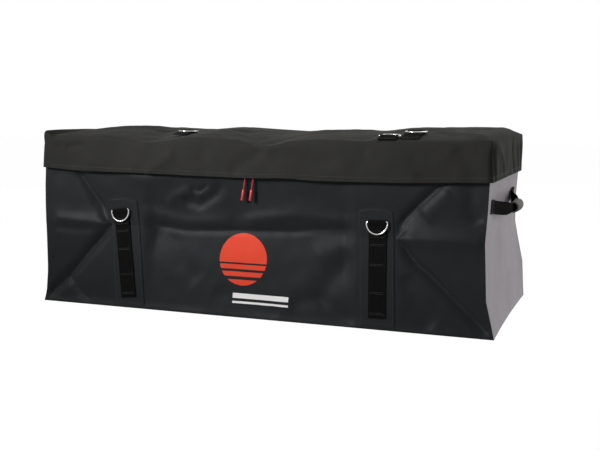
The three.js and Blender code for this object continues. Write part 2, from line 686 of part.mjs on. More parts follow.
function slider(hand) {
  const height = PLATE_BELOW + PLATE_ABOVE;
  const plate = new THREE.BoxGeometry(SLIDER_LENGTH, PLATE, height);
  const midZ = ZIP_Z + (PLATE_ABOVE - PLATE_BELOW) / 2;
  const backMid = chainIn - GAP - PLATE / 2;
  let made = solid(plate, 0, -(plateFace + PLATE / 2), midZ);
  made = made.add(solid(plate, 0, -backMid, midZ));
  const bridgeDepth = plateFace + PLATE - (backMid - PLATE / 2);
  const bridge = new THREE.BoxGeometry(5, bridgeDepth, BRIDGE);
  const bridgeY = -(plateFace + PLATE - bridgeDepth / 2);
  made = made.add(solid(bridge, -hand * (SLIDER_LENGTH / 2 - 4), bridgeY, ZIP_Z));
  const arch = new THREE.EllipseCurve(0, 0, BAIL_REACH, 3.6, -Math.PI / 2, Math.PI / 2);
  const route = new THREE.CatmullRomCurve3(arch.getPoints(10).map(
    (p) => new THREE.Vector3(0, -(plateFace + PLATE - 0.6) - p.x, bailMid + p.y * 1.05),
  ));
  const section = new THREE.Shape().absarc(0, 0, BAIL_WIRE, 0, Math.PI * 2);
  const wire = new THREE.ExtrudeGeometry(section, {
    extrudePath: route, steps: 10, bevelEnabled: false, curveSegments: 4,
  });
  made = made.add(solid(wire, 0, 0, 0));
  return geometryOf(made);
}

// Pull tab: a flat plate with an eye for the bail and an eye for the cord
const tabTopZ = bailMid + TAB_BAR / 2;
const tabBottomZ = tabTopZ - TAB_LENGTH;
const cordEyeZ = tabBottomZ + 4.4;

function pullTab() {
  const half = TAB_WIDTH / 2;
  const shape = new THREE.Shape();
  shape.moveTo(-half, tabBottomZ + half);
  shape.absarc(0, tabBottomZ + half, half, Math.PI, Math.PI * 2, false);
  shape.lineTo(half - 1, tabTopZ);
  shape.lineTo(-half + 1, tabTopZ);
  shape.closePath();
  const eyeTop = tabTopZ - TAB_BAR;
  const eye = new THREE.Path();
  eye.moveTo(-1.7, eyeTop - 5);
  eye.lineTo(1.7, eyeTop - 5);
  eye.lineTo(1.7, eyeTop);
  eye.lineTo(-1.7, eyeTop);
  eye.closePath();
  const cordEye = new THREE.Path().absarc(0, cordEyeZ, CORD_RADIUS + GAP + 0.3, 0, Math.PI * 2, true);
  shape.holes.push(eye, cordEye);
  const plate = new THREE.ExtrudeGeometry(shape, { depth: TAB, bevelEnabled: false, curveSegments: 8 });
  return plate.rotateX(Math.PI / 2).translate(0, TAB / 2, 0);
}

// Cord: it goes up behind the tab, through the eye and down in front, both strands leaning
function pullCord() {
  const strand = TAB / 2 + GAP + CORD_RADIUS;
  const lean = (z) => -PULL_LEAN * Math.max(0, (cordEyeZ - z) / (cordEyeZ - PULL_BOTTOM_Z));
  const leg = [CORD_BOTTOM_Z, CORD_BOTTOM_Z + 14, CORD_BOTTOM_Z + 26, cordEyeZ - 3.2];
  const points = [
    ...leg.map((z) => new THREE.Vector3(lean(z), strand, z)),
    new THREE.Vector3(0, strand * 0.8, cordEyeZ - 0.4),
    new THREE.Vector3(0, 0, cordEyeZ + 0.3),
    new THREE.Vector3(0, -strand * 0.8, cordEyeZ - 0.4),
    ...leg.map((z) => new THREE.Vector3(lean(z), -strand, z)).reverse(),
  ];
  const section = new THREE.Shape().absarc(0, 0, CORD_RADIUS, 0, Math.PI * 2);
  return new THREE.ExtrudeGeometry(section, {
    extrudePath: new THREE.CatmullRomCurve3(points, false, "centripetal"),
    steps: 32, bevelEnabled: false, curveSegments: 3,
  });
}

function pullEnd() {
  const height = CORD_BOTTOM_Z - GAP - PULL_BOTTOM_Z;
  const lean = (z) => -PULL_LEAN * ((cordEyeZ - z) / (cordEyeZ - PULL_BOTTOM_Z));
  const profile = [[0, 0], [3.2, 0], [4.3, 1.2], [4.5, 6], [3.9, height - 1.5], [3, height], [0, height]];
  const sleeve = new THREE.LatheGeometry(profile.map(([r, z]) => new THREE.Vector2(r, z)), 14);
  sleeve.rotateX(Math.PI / 2).scale(1, PULL_END_FLATNESS, 1);
  const position = sleeve.getAttribute("position");
  for (let i = 0; i < position.count; i++) {
    const z = position.getZ(i) + PULL_BOTTOM_Z;
    position.setXYZ(i, position.getX(i) + lean(z), position.getY(i), z);
  }
  return sleeve;
}

for (const side of ["left", "right"]) {
  const hand = side === "left" ? -1 : 1;
  const tabY = wallFaceY - tabLift;
  add(side + "_slider", slider(hand), "steel").position.set(hand * SLIDER_X, wallFaceY, 0);
  add(side + "_pull_tab", pullTab(), "steel").position.set(hand * SLIDER_X, tabY, 0);
  add(side + "_pull_cord", pullCord(), "red").position.set(hand * SLIDER_X, tabY, 0);
  add(side + "_pull_end", pullEnd(), "red").position.set(hand * SLIDER_X, tabY, 0);
}

export default bag;
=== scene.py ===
import math

import bmesh
import bpy
import numpy as np
from mathutils import Matrix, Vector


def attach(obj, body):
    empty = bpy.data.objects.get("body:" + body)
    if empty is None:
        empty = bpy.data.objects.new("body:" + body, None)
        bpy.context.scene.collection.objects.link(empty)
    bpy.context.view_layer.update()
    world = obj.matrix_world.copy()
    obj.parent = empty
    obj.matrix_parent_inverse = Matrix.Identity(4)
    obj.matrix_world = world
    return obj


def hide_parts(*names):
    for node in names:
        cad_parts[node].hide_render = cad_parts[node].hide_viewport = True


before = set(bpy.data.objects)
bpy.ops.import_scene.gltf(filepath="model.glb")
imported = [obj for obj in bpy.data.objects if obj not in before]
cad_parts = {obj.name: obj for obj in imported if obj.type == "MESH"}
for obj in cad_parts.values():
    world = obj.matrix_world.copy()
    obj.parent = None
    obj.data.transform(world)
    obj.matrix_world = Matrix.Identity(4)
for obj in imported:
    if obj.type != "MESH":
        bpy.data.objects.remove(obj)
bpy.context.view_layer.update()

# Studio: a pale floor under a white surround, lit by four softboxes: one over the front's left
# side, one off the right end, one low behind the bag and one over the lid. The camera stands
# where the photograph was taken from.
CAMERA_DIP = 7.451
CAMERA_TURN = 20.826


def add_object(name, data):
    made = bpy.data.objects.new(name, data)
    bpy.context.scene.collection.objects.link(made)
    return made


def mesh_from(bm, name):
    """A mesh in the shape of a bmesh, which is then freed."""
    mesh = bpy.data.meshes.new(name)
    bm.to_mesh(mesh)
    bm.free()
    return mesh


camera_data = bpy.data.cameras.new("camera")
camera_data.lens = 54.0
camera_data.sensor_width = 36.0
camera_data.clip_end = 60.0
camera = add_object("camera", camera_data)
camera.location = (0.9992, -2.5222, 0.5795)
camera.rotation_euler = (math.radians(90 - CAMERA_DIP), 0, math.radians(CAMERA_TURN))
bpy.context.scene.camera = camera
bpy.context.scene.view_settings.view_transform = "Standard"


def shade(tree, kind, **settings):
    node = tree.nodes.new(kind)
    for key, value in settings.items():
        if hasattr(node, key):
            setattr(node, key, value)
        else:
            node.inputs[key.replace("_", " ")].default_value = value
    return node


def math_node(tree, operation, *values):
    node = tree.nodes.new("ShaderNodeMath")
    node.operation = operation
    for socket, value in zip(node.inputs, values):
        if isinstance(value, (int, float)):
            socket.default_value = value
        else:
            tree.links.new(value, socket)
    return node.outputs[0]


def seen_directly(tree):
    """1 on a ray that shows the surround: from the camera, a gloss or a clear piece."""
    rays = tree.nodes.new("ShaderNodeLightPath").outputs
    either = math_node(tree, "MAXIMUM", rays["Is Camera Ray"], rays["Is Glossy Ray"])
    return math_node(tree, "MAXIMUM", either, rays["Is Transmission Ray"])


def unless_seen(tree, lighting, shown, share):
    """One shader for the light that falls on the bag, and another where the surround is seen."""
    mix = tree.nodes.new("ShaderNodeMixShader")
    tree.links.new(math_node(tree, "MULTIPLY", seen_directly(tree), share), mix.inputs["Fac"])
    tree.links.new(lighting.outputs[0], mix.inputs[1])
    tree.links.new(shown.outputs[0], mix.inputs[2])
    return mix.outputs[0]


world = bpy.data.worlds.new("surround")
world.use_nodes = True
sky = world.node_tree
sky.nodes.clear()
dim = shade(sky, "ShaderNodeBackground", Color=(1, 1, 1, 1), Strength=0.07)
white = shade(sky, "ShaderNodeBackground", Color=(1, 1, 1, 1), Strength=1.0)
sky_out = sky.nodes.new("ShaderNodeOutputWorld")
sky.links.new(unless_seen(sky, dim, white, 1.0), sky_out.inputs["Surface"])
bpy.context.scene.world = world

floor_bm = bmesh.new()
bmesh.ops.create_grid(floor_bm, x_segments=1, y_segments=1, size=12)
bmesh.ops.translate(floor_bm, verts=floor_bm.verts, vec=(0, 0, -0.001))
floor_mesh = mesh_from(floor_bm, "floor")
floor = add_object("floor", floor_mesh)
floor_paint = bpy.data.materials.new("floor_paper")
floor_paint.use_nodes = True
paper = floor_paint.node_tree
paper.nodes.clear()
matte = shade(paper, "ShaderNodeBsdfDiffuse", Color=(0.7, 0.7, 0.7, 1))
glow = shade(paper, "ShaderNodeEmission", Strength=1.06)
paper_out = paper.nodes.new("ShaderNodeOutputMaterial")
paper.links.new(unless_seen(paper, matte, glow, 0.93), paper_out.inputs["Surface"])
floor_mesh.materials.append(floor_paint)


def softbox(name, place, aim, size, power, spread=180):
    """A rectangular lamp turned to its aim. Its power is in watts, its spread in degrees."""
    lamp = bpy.data.lights.new(name, "AREA")
    lamp.shape = "RECTANGLE"
    lamp.size, lamp.size_y = size
    lamp.energy = power
    lamp.spread = math.radians(spread)
    holder = add_object(name, lamp)
    holder.location = place
    holder.rotation_euler = (Vector(aim) - Vector(place)).to_track_quat("-Z", "Y").to_euler()


softbox("front_softbox", (-2.2, -3.0, 2.0), (-0.24, -0.3, 1.2), (1.1, 0.8), 28, 45)
softbox("end_softbox", (3.4, 1.2, 1.4), (0.6, 0, 0.25), (1.4, 1.4), 40)
softbox("rear_fill", (-1.8, 3.6, 0.27), (0, 0.2, 0.25), (1.8, 0.36), 52)
softbox("top_softbox", (1.5, 1.2, 3.0), (0.75, 0, 0.5), (1.6, 1.4), 9.5, 90)

# Coated cloth: a woven polyester scrim under a semi-matte coat. It is one cloth in three
# colours, cut in panels that are sewn together. Sharp folds are painted paler: partly a
# scuffed coat, partly a painted highlight along the crease.
MM = 0.001
CLOTH_THICKNESS = 1.1


def new_material(name):
    material = bpy.data.materials.new(name)
    material.use_nodes = True
    tree = material.node_tree
    return material, tree, tree.nodes["Principled BSDF"]


def mix_colour(tree, share, first, second):
    node = tree.nodes.new("ShaderNodeMix")
    node.data_type = "RGBA"
    for socket, value in ((0, share), (6, first), (7, second)):
        if isinstance(value, (int, float)):
            node.inputs[socket].default_value = value
        elif isinstance(value, tuple):
            node.inputs[socket].default_value = (*value, 1)
        else:
            tree.links.new(value, node.inputs[socket])
    return node.outputs[2]


def noise(tree, place, scale, detail, roughness=0.5):
    """Soft noise from 0 to 1 over the piece."""
    cloud = shade(tree, "ShaderNodeTexNoise", Scale=scale, Detail=detail, Roughness=roughness)
    tree.links.new(place, cloud.inputs["Vector"])
    return cloud.outputs["Fac"]


def emboss(tree, shader, height, strength, distance):
    """Relief too fine for the mesh."""
    bump = shade(tree, "ShaderNodeBump", Strength=strength, Distance=distance)
    tree.links.new(height, bump.inputs["Height"])
    tree.links.new(bump.outputs["Normal"], shader.inputs["Normal"])


def mottled(name, dark, light, scale, detail, rough):
    """A plain material whose colour drifts between two tones."""
    material, tree, shader = new_material(name)
    place = shade(tree, "ShaderNodeTexCoord").outputs["Object"]
    tone = mix_colour(tree, noise(tree, place, scale, detail), dark, light)
    tree.links.new(tone, shader.inputs["Base Color"])
    shader.inputs["Roughness"].default_value = rough
    return material


def toned(colour, factor):
    return tuple(c * factor for c in colour)


def coated_cloth(name, colour, pale, rough=0.47, gloss=0.07, print_on=None):
    """A cloudy coat over the fine relief of the weave. It pales on sharp folds: partly worn, partly a
    painted highlight.
    """
    material, tree, shader = new_material(name)
    coordinates = shade(tree, "ShaderNodeTexCoord")
    place = coordinates.outputs["Object"]
    cloud = noise(tree, place, 5.0, 4.0, 0.6)
    scuff = noise(tree, place, 55.0, 6.0, 0.7)
    wear_and_glint = shade(tree, "ShaderNodeAttribute", attribute_name="wear_and_glint")
    # Paler coat on sharp folds, broken up by the scuff noise: partly wear, partly a painted highlight.
    broken = math_node(tree, "MULTIPLY", wear_and_glint.outputs["Fac"], scuff)
    body = mix_colour(tree, cloud, toned(colour, 0.86), toned(colour, 1.14))
    worn_and_glinting = mix_colour(tree, broken, body, pale)
    if print_on:
        worn_and_glinting = print_on(tree, place, worn_and_glinting)
    tree.links.new(worn_and_glinting, shader.inputs["Base Color"])
    uneven = math_node(tree, "MULTIPLY_ADD", scuff, 0.16, rough - 0.08)
    tree.links.new(uneven, shader.inputs["Roughness"])
    shader.inputs["Specular IOR Level"].default_value = gloss
    threads = []
    for direction in "XY":
        thread_wave = shade(
            tree, "ShaderNodeTexWave", wave_type="BANDS", bands_direction=direction,
            Scale=95.0, Distortion=0.6, Detail=1.0, Detail_Scale=4.0,
        )
        tree.links.new(coordinates.outputs["UV"], thread_wave.inputs["Vector"])
        threads.append(thread_wave.outputs["Fac"])
    weave = math_node(tree, "ADD", *threads)
    grain = noise(tree, place, 420.0, 3.0)
    emboss(tree, shader, math_node(tree, "ADD", weave, grain), 0.16, 0.0004)
    return material


def cloth_piece(name, across, up, face, flat, thickness, materials, wear_and_glint=None):
    """A grid of cloth shaped by face(u, v) in millimetres. Its thickness lies behind it."""
    sheet_bm = bmesh.new()
    bmesh.ops.create_grid(sheet_bm, x_segments=across, y_segments=up, size=0.5)
    places = np.array([v.co[:2] for v in sheet_bm.verts]) + 0.5
    shaped = np.stack(face(places[:, 0], places[:, 1]), -1) * MM
    uv = sheet_bm.loops.layers.uv.new("cloth")
    for f in sheet_bm.faces:
        f.smooth = True
        for corner in f.loops:
            u, v = corner.vert.co[:2]
            corner[uv].uv = ((u + 0.5) * flat[0], (v + 0.5) * flat[1])
    for vert, point in zip(sheet_bm.verts, shaped):
        vert.co = point
    mesh = mesh_from(sheet_bm, name)
    # How much paler the coat is at each point: partly wear, partly a painted highlight on sharp folds.
    worn_and_glinting = mesh.attributes.new("wear_and_glint", "FLOAT", "POINT")
    amount = np.zeros(len(places)) if wear_and_glint is None else wear_and_glint(places[:, 0], places[:, 1])
    worn_and_glinting.data.foreach_set("value", amount.astype(np.float32))
    for material in materials:
        mesh.materials.append(material)
    piece = add_object(name, mesh)
    thicken = piece.modifiers.new("thickness", "SOLIDIFY")
    thicken.thickness = thickness * MM
    thicken.offset = -1
    thicken.material_offset = len(materials) - 1
    thicken.material_offset_rim = len(materials) - 1
    return settle(piece)


def settle(piece):
    """Applies the modifiers, and keeps the edges over 50 degrees crisp."""
    depsgraph = bpy.context.evaluated_depsgraph_get()
    made = bpy.data.meshes.new_from_object(piece.evaluated_get(depsgraph), depsgraph=depsgraph)
    piece.modifiers.clear()
    piece.data = made
    made.name = piece.name
    made.set_sharp_from_angle(angle=math.radians(50))
    return piece


BLUE_BLACK = (0.0108, 0.0120, 0.0130)
BROWN_BLACK = (0.0208, 0.0205, 0.0193)
GREY = (0.270, 0.248, 0.269)
inner_cloth = coated_cloth("inner_black_cloth", (0.012, 0.012, 0.013), (0.05, 0.05, 0.05))

# Long walls: one cloth each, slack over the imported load. It folds in along the middle, from
# two points beside the straps, and out of those points to the four corners. A table of pairs
# gives a height or a place along the bag first, and then the value there.
WALL_HEIGHT = 500
BASE_HALF_LENGTH = 671.8
TOP_HALF_LENGTH = 644
HALF_WIDTH_AT = np.array([(0, 292.1), (300, 276.4), (420, 275.3), (500, 272)]).T
WALL_TOP_Z = 412
REAR_TOP_Z = 498.2
FOLD_Z = 240
FOLD_TOP_Z = 398
FOLD_DEPTH = 22
PATCH_FOLD_DEPTH = 9
FOLD_APEX = {-1: 449, 1: 410}
FOLD_TO_PATCH = 44
RIDGE_HEIGHT = 3
FOLD_SOFTNESS = 1.15
PATCH_WIDTH = 96
PATCH_MARGIN = 4
CORNER_PINCH = {
    ("front", 1): [(0, 0), (95, 18), (240, 17), (325, 8), (390, 2), (500, 0)],
    ("back", 1): [(0, 0), (110, 0), (190, 12), (235, 18), (315, 13), (390, 4), (500, 0)],
    ("front", -1): [
        (0, -5), (35, -0.7), (85, 0.6), (110, -0.3), (205, -7.6), (300, -17.2), (350, -19.4),
        (395, -19.6), (500, -24.5),
    ],
    ("back", -1): [(0, -4), (85, 2), (175, 2), (250, -5), (325, -14), (395, -18), (500, -24.5)],
}


def read(table, place):
    places, values = np.array(table, float).T
    return np.interp(place, places, values)


def ease(t):
    """A soft step that rises from 0 to 1 as t does."""
    t = np.clip(t, 0, 1)
    return t * t * (3 - 2 * t)


def run_along(points):
    """Distance along a route to each of its points."""
    return np.concatenate([[0], np.cumsum(np.linalg.norm(np.diff(points, axis=0), axis=1))])


def half_width(z):
    """Half the bag's width at height z, where no fold draws it in."""
    return np.interp(z, *HALF_WIDTH_AT)


def corner_x(face, side, z):
    """Distance of a corner seam from the bag's middle at height z."""
    taper = BASE_HALF_LENGTH + (TOP_HALF_LENGTH - BASE_HALF_LENGTH) * z / WALL_HEIGHT
    return taper - read(CORNER_PINCH[face, side], z)


def fold_depth(x, z):
    """How far the folds draw a long wall in at (x, z)."""
    reach = np.where(z > FOLD_Z, FOLD_TOP_Z - FOLD_Z, FOLD_Z)
    height = np.minimum(1, np.abs(z - FOLD_Z) / reach)
    apex = np.where(x < 0, FOLD_APEX[-1], FOLD_APEX[1])
    out = (np.abs(x) - apex) / reach
    stiff_from = apex - PATCH_WIDTH - 2 * PATCH_MARGIN
    to_patch = ease((np.abs(x) - stiff_from) / FOLD_TO_PATCH + 1)
    slack = FOLD_DEPTH + (PATCH_FOLD_DEPTH - FOLD_DEPTH) * to_patch
    middle = slack * (1 - height) ** FOLD_SOFTNESS
    beyond = PATCH_FOLD_DEPTH * (1 - height) ** FOLD_SOFTNESS
    near = np.clip(out, 1e-6, 1)
    valley = PATCH_FOLD_DEPTH * np.maximum(0, 1 - out) ** FOLD_SOFTNESS
    share = np.minimum(1, height / near)
    facet = valley * share - RIDGE_HEIGHT * near * (1 - share)
    return np.where(out <= 0, middle, np.where(height >= out, beyond, facet))


CREASE_FADE = 0.16
SHARP_DEPTH = 1.8
SOFT_DEPTH = 1.35
KEEN_REACH = 3.5


def crease_field(a, b, creases):
    """Depth of drawn creases at points (a, b), in millimetres, and how sharp they are there.
    Each is (points, depth, half width, sharp): a sharp one has a creased bottom."""
    total, keen = np.zeros(np.shape(a)), np.zeros(np.shape(a))
    for points, depth, width, sharp in creases:
        route = np.array(points, float)
        along = run_along(route)
        nearest, share = np.full(np.shape(a), 1e9), np.zeros(np.shape(a))
        for i, step in enumerate(np.diff(along)):
            run = (route[i + 1] - route[i]) / step
            t = np.clip((a - route[i, 0]) * run[0] + (b - route[i, 1]) * run[1], 0, step)
            gap = np.hypot(a - route[i, 0] - run[0] * t, b - route[i, 1] - run[1] * t)
            closer = gap < nearest
            nearest = np.where(closer, gap, nearest)
            share = np.where(closer, (along[i] + t) / along[-1], share)
        fade = np.clip(np.minimum(share, 1 - share) / CREASE_FADE, 0, 1)
        fade = fade * (2 - fade)
        reach = nearest / width
        if sharp:
            total += depth * SHARP_DEPTH * np.clip(1 - reach, 0, 1) ** 2 * fade
            keen = np.maximum(keen, np.exp(-((nearest / KEEN_REACH) ** 2)) * fade)
        else:
            total += depth * SOFT_DEPTH * np.exp(-((1.7 * reach) ** 2)) * fade
    return total, keen


def ripple(a, b, length, seed):
    """Soft uneven waves from -1 to 1, about length millimetres long."""
    total = np.zeros(np.shape(a))
    for k in range(5):
        turn = seed * 1.7 + k * 2.399
        wave = 2 * math.pi / (length * (0.75 + 0.13 * k))
        total += np.sin(wave * (a * math.cos(turn) + b * math.sin(turn)) + seed * 3.1 + k * k * 1.3)
    return total / 3


FRONT_CREASES = [
    ([(-562, 400), (-498, 311), (-450, 262)], 7, 34, True),
    ([(-668, 252), (-600, 249), (-547, 246), (-448, 243)], -3.6, 30, False),
    ([(-668, 232), (-580, 226), (-470, 228)], 2.5, 26, False),
    ([(-450, 240), (-473, 209), (-520, 162), (-594, 77), (-668, 14)], 6, 30, True),
    ([(-594, 77), (-548, 32), (-512, 6)], 3, 24, True),
    (
        [(-350, 262), (-306, 241), (-215, 231), (-34, 238), (114, 243), (180, 252), (300, 255)],
        2.4, 20, True,
    ),
    ([(-345, 290), (-290, 268), (-200, 254), (-60, 262)], -3.6, 34, False),
    ([(-60, 262), (40, 274), (114, 284), (200, 280), (310, 276)], -3.2, 30, False),
    ([(-24, 246), (16, 279), (114, 297), (231, 295), (289, 280)], -3, 48, False),
    ([(-266, 300), (-239, 328), (-205, 342), (-180, 335)], -3, 26, False),
    ([(-215, 322), (-161, 309), (-109, 340), (-83, 372)], 5, 26, False),
    ([(-190, 352), (-161, 345), (-130, 366)], 3, 14, True),
    ([(-306, 236), (-242, 196), (-216, 141), (-159, 92)], 3, 52, False),
    ([(412, 250), (418, 278), (467, 329), (545, 402)], 6, 26, True),
    ([(418, 245), (531, 242), (645, 244)], -3.5, 38, False),
    ([(414, 244), (462, 180), (512, 142), (596, 65), (658, 10)], 7, 30, True),
    ([(600, 395), (606, 327), (624, 288)], 3, 32, False),
    ([(480, 300), (552, 366)], -3, 40, False),
    ([(186, 172), (254, 205), (312, 232)], -3, 55, False),
    ([(296, 190), (232, 123), (196, 50)], 3.5, 52, False),
    ([(117, 49), (200, 64), (255, 38), (308, 16)], 3, 42, False),
    ([(-120, 60), (20, 40), (90, 20)], 2, 46, False),
    ([(438, 150), (470, 60), (520, 20)], 2.5, 44, False),
    ([(-420, 398), (-330, 372), (-240, 388)], -2, 34, False),
]
BACK_CREASES = [
    ([(-548, 398), (-486, 316), (-450, 262)], 5, 30, True),
    ([(-448, 238), (-530, 150), (-655, 18)], 6, 32, True),
    ([(-340, 246), (-150, 236), (60, 244), (290, 240)], 3, 22, True),
    ([(-335, 264), (-150, 254), (60, 262), (290, 258)], -4.5, 26, False),
    ([(420, 262), (470, 325), (545, 398)], 5, 28, True),
    ([(420, 236), (520, 140), (655, 16)], 6, 30, True),
    ([(-230, 330), (-120, 305), (-20, 350)], 4, 40, False),
    ([(120, 150), (220, 90), (260, 30)], 3, 55, False),
    ([(-160, 120), (-60, 60), (40, 40)], 3, 60, False),
]
PATCH_TOP_Z = 320
# Each patch's middle: a place along the bag, its lean, and the height where it has that place.
PATCH_LINE = {-1: (-382, -0.0968, 36), 1: (366, -0.0452, 38)}


def patch_centre(side, z):
    """Middle of a patch at height z: the patches lean a little with the slack cloth."""
    x, slope, at = PATCH_LINE[side]
    return x + slope * (z - at)


def wall_out(face, x, z):
    """Outer face of a long wall, as its distance from the bag's middle plane."""
    creases = FRONT_CREASES if face == "front" else BACK_CREASES
    drawn, keen = crease_field(x, z, creases)
    drawn += 1.1 * ripple(x, z, 170, 1.0 if face == "front" else 4.0)
    drawn += 0.35 * ripple(x, z, 60, 2.0)
    free = np.ones_like(x)
    for side in (-1, 1):
        off = np.abs(x - patch_centre(side, z)) - PATCH_WIDTH / 2 - 1
        off = np.maximum(off, z - PATCH_TOP_Z - 1)
        free = np.minimum(free, np.clip(off / 26, 0.0, 1))
    edge = np.clip(z / 12, 0, 1) * np.clip((WALL_TOP_Z - z) / 30, 0, 1)
    ends = np.clip((corner_x(face, 1, z) - np.abs(x)) / 14, 0, 1)
    turn_under = 1.5 * np.clip(1 - z / 4, 0, 1) ** 2 - 4 * np.clip(1 - z / 27, 0, 1) ** 2
    return half_width(z) - fold_depth(x, z) - drawn * free * edge * ends - turn_under, keen * free


PRINT_CENTRE = (-0.027, 0.160)
PRINT_RADIUS = 0.072
PRINT_GAPS = [(-0.012, 0.005), (-0.031, 0.007), (-0.052, 0.009)]
PRINT_BARS = [(0.052, 0.066), (0.038, 0.044)]
PRINT_BAR_ENDS = (-0.054, 0.114)
PRINT_RED = (0.640, 0.055, 0.026)
PRINT_WHITE = (0.78, 0.77, 0.76)


def between(tree, value, low, high):
    """1 where a value lies between low and high, and 0 elsewhere."""
    off = math_node(tree, "ABSOLUTE", math_node(tree, "SUBTRACT", value, (low + high) / 2))
    return math_node(tree, "LESS_THAN", off, (high - low) / 2)


def sun_print(tree, place, cloth_colour):
    """A printed disc over two plain bars, in red-orange and white ink."""
    split = shade(tree, "ShaderNodeSeparateXYZ")
    tree.links.new(place, split.inputs[0])
    x, z = split.outputs["X"], split.outputs["Z"]
    dx = math_node(tree, "SUBTRACT", x, PRINT_CENTRE[0])
    dz = math_node(tree, "SUBTRACT", z, PRINT_CENTRE[1])
    squares = [math_node(tree, "MULTIPLY", d, d) for d in (dx, dz)]
    away = math_node(tree, "SQRT", math_node(tree, "ADD", *squares))
    disc = math_node(tree, "LESS_THAN", away, PRINT_RADIUS)
    for middle, tall in PRINT_GAPS:
        off = math_node(tree, "ABSOLUTE", math_node(tree, "SUBTRACT", dz, middle))
        disc = math_node(tree, "MULTIPLY", disc, math_node(tree, "GREATER_THAN", off, tall / 2))
    bars = 0.0
    for low, high in PRINT_BARS:
        bar = math_node(tree, "MULTIPLY", between(tree, x, *PRINT_BAR_ENDS), between(tree, z, low, high))
        bars = math_node(tree, "ADD", bar, bars)
    inked = mix_colour(tree, disc, cloth_colour, PRINT_RED)
    return mix_colour(tree, bars, inked, PRINT_WHITE)


# Pale tone of sharp folds: partly a scuffed coat, partly a painted highlight.
BLUE_BLACK_WORN_AND_GLINTING = (0.045, 0.047, 0.05)
front_cloth = coated_cloth("blue_black_cloth_printed", BLUE_BLACK, BLUE_BLACK_WORN_AND_GLINTING, print_on=sun_print)
back_cloth = coated_cloth("blue_black_cloth", BLUE_BLACK, BLUE_BLACK_WORN_AND_GLINTING)
WALL_FLAT = (1.36, 0.418)
# Share of that pale tone on sharp folds, partly wear and partly painted highlight.
WEAR_AND_GLINT_ON_KEEN_FOLDS = 0.25
for face, out in (("front", -1), ("back", 1)):
    top_z = WALL_TOP_Z if face == "front" else REAR_TOP_Z

    def wall_face(u, v):
        z = v * top_z
        hand = np.where(u < 0.5, 1, -1) * out
        reach = np.where(hand < 0, corner_x(face, -1, z), corner_x(face, 1, z))
        x = hand * reach * np.abs(2 * u - 1)
        return x, out * wall_out(face, x, z)[0], z

    # Paler coat along sharp folds: partly wear, partly a painted highlight.
    def wall_wear_and_glint(u, v):
        x, _, z = wall_face(u, v)
        return np.clip(wall_out(face, x, z)[1] * WEAR_AND_GLINT_ON_KEEN_FOLDS, 0, 1)

    cloths = [front_cloth if face == "front" else back_cloth, inner_cloth]
    wall = cloth_piece(face + "_wall", 300, 92, wall_face, WALL_FLAT, CLOTH_THICKNESS, cloths, wall_wear_and_glint)
    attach(wall, "bag")
    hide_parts(face + "_panel")

# End walls: grey cloth sewn between the long walls. Each is drawn in along its upright seams
# and hollows a little between them. Behind the zip's rear ends it runs on up to the lid.
BASE_BOW = 4
END_HOLLOW = {-1: 21, 1: 6}
GUSSET_SHARE = 1 - 32 / 272
GUSSET_EDGE = 0.006
LOWER_ROWS = 0.97
grey_cloth = coated_cloth("grey_cloth", GREY, (0.42, 0.41, 0.43), rough=0.52, gloss=0.2)
inner_grey = coated_cloth("inner_grey_cloth", (0.2, 0.19, 0.2), (0.3, 0.3, 0.3))


def end_out(side, y, z):
    """Outer face of an end wall, as its distance from the bag's middle."""
    share = (y / half_width(z) + 1) / 2
    bow = BASE_BOW + (END_HOLLOW[side] - BASE_BOW) * np.minimum(1, z / FOLD_Z)
    front, back = corner_x("front", side, z), corner_x("back", side, z)
    return front + (back - front) * share - bow * np.maximum(0, 1 - (2 * share - 1) ** 2)


for side, hand in (("left", -1), ("right", 1)):

    def end_face(u, v):
        across = 2 * u - 1
        gusset = np.clip((hand * across - GUSSET_SHARE) / GUSSET_EDGE, 0, 1)
        top = WALL_TOP_Z + (REAR_TOP_Z - WALL_TOP_Z) * gusset
        upper_z = FOLD_TOP_Z + (top - FOLD_TOP_Z) * (v - LOWER_ROWS) / (1 - LOWER_ROWS)
        z = np.where(v > LOWER_ROWS, upper_z, v / LOWER_ROWS * FOLD_TOP_Z)
        x = np.where(hand * across < 0, corner_x("front", hand, z), corner_x("back", hand, z))
        edge = half_width(z) - fold_depth(hand * x, z) - 1.3
        y = hand * across * edge
        soft = 1.6 * ripple(y, z, 210, 6.0 + hand) + 0.5 * ripple(y, z, 80, 3.0)
        soft = soft * np.clip((1 - np.abs(across)) / 0.12, 0, 1) * np.clip(z / 30, 0, 1)
        return hand * (end_out(hand, y, z) - 0.6 - soft * 0.6), y, z

    cloths = [grey_cloth, inner_grey]
    wall = cloth_piece(side + "_end_wall", 110, 84, end_face, (0.56, 0.42), CLOTH_THICKNESS, cloths)
    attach(wall, "bag")
    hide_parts(side + "_end_panel")

# Lid: one cloth folded down at the front and both ends as a rain flap, and sewn to the back
# wall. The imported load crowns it, and its slack falls into shallow folds towards the edges.
LID_REACH = {-1: 672, 1: 656}
LID_HALF_WIDTH = 281
LID_REAR_Y = 273
LID_REAR_Z = 500
FLAP_LENGTH = 105
FLAP_FLARE_FRONT = 11
FLAP_FLARE_END = 1.5
FLAP_CORNER_RADIUS = 16
TOP_EDGE_INSET = 8
FRONT_EDGE_Z = [
    (-672, 519), (-655, 508), (-636, 493), (-574, 493), (-485, 497), (-423, 491), (-353, 483), (-266, 483),
    (-210, 491), (-154, 494), (-59, 488), (37, 477), (120, 487), (217, 493), (367, 492), (547, 492),
    (656, 499),
]
CROWN = [
    (-672, 4), (-640, 10), (-590, 17), (-540, 22), (-490, 20), (-430, 18), (-300, 17.5), (-215, 19),
    (-160, 21.5), (-107, 17), (-57, 14), (-10, 13.5), (40, 15.5), (88, 18), (133, 19.5), (180, 18),
    (228, 16), (270, 13), (320, 17), (362, 24), (411, 25), (600, 22.5), (640, 18), (656, 8),
]
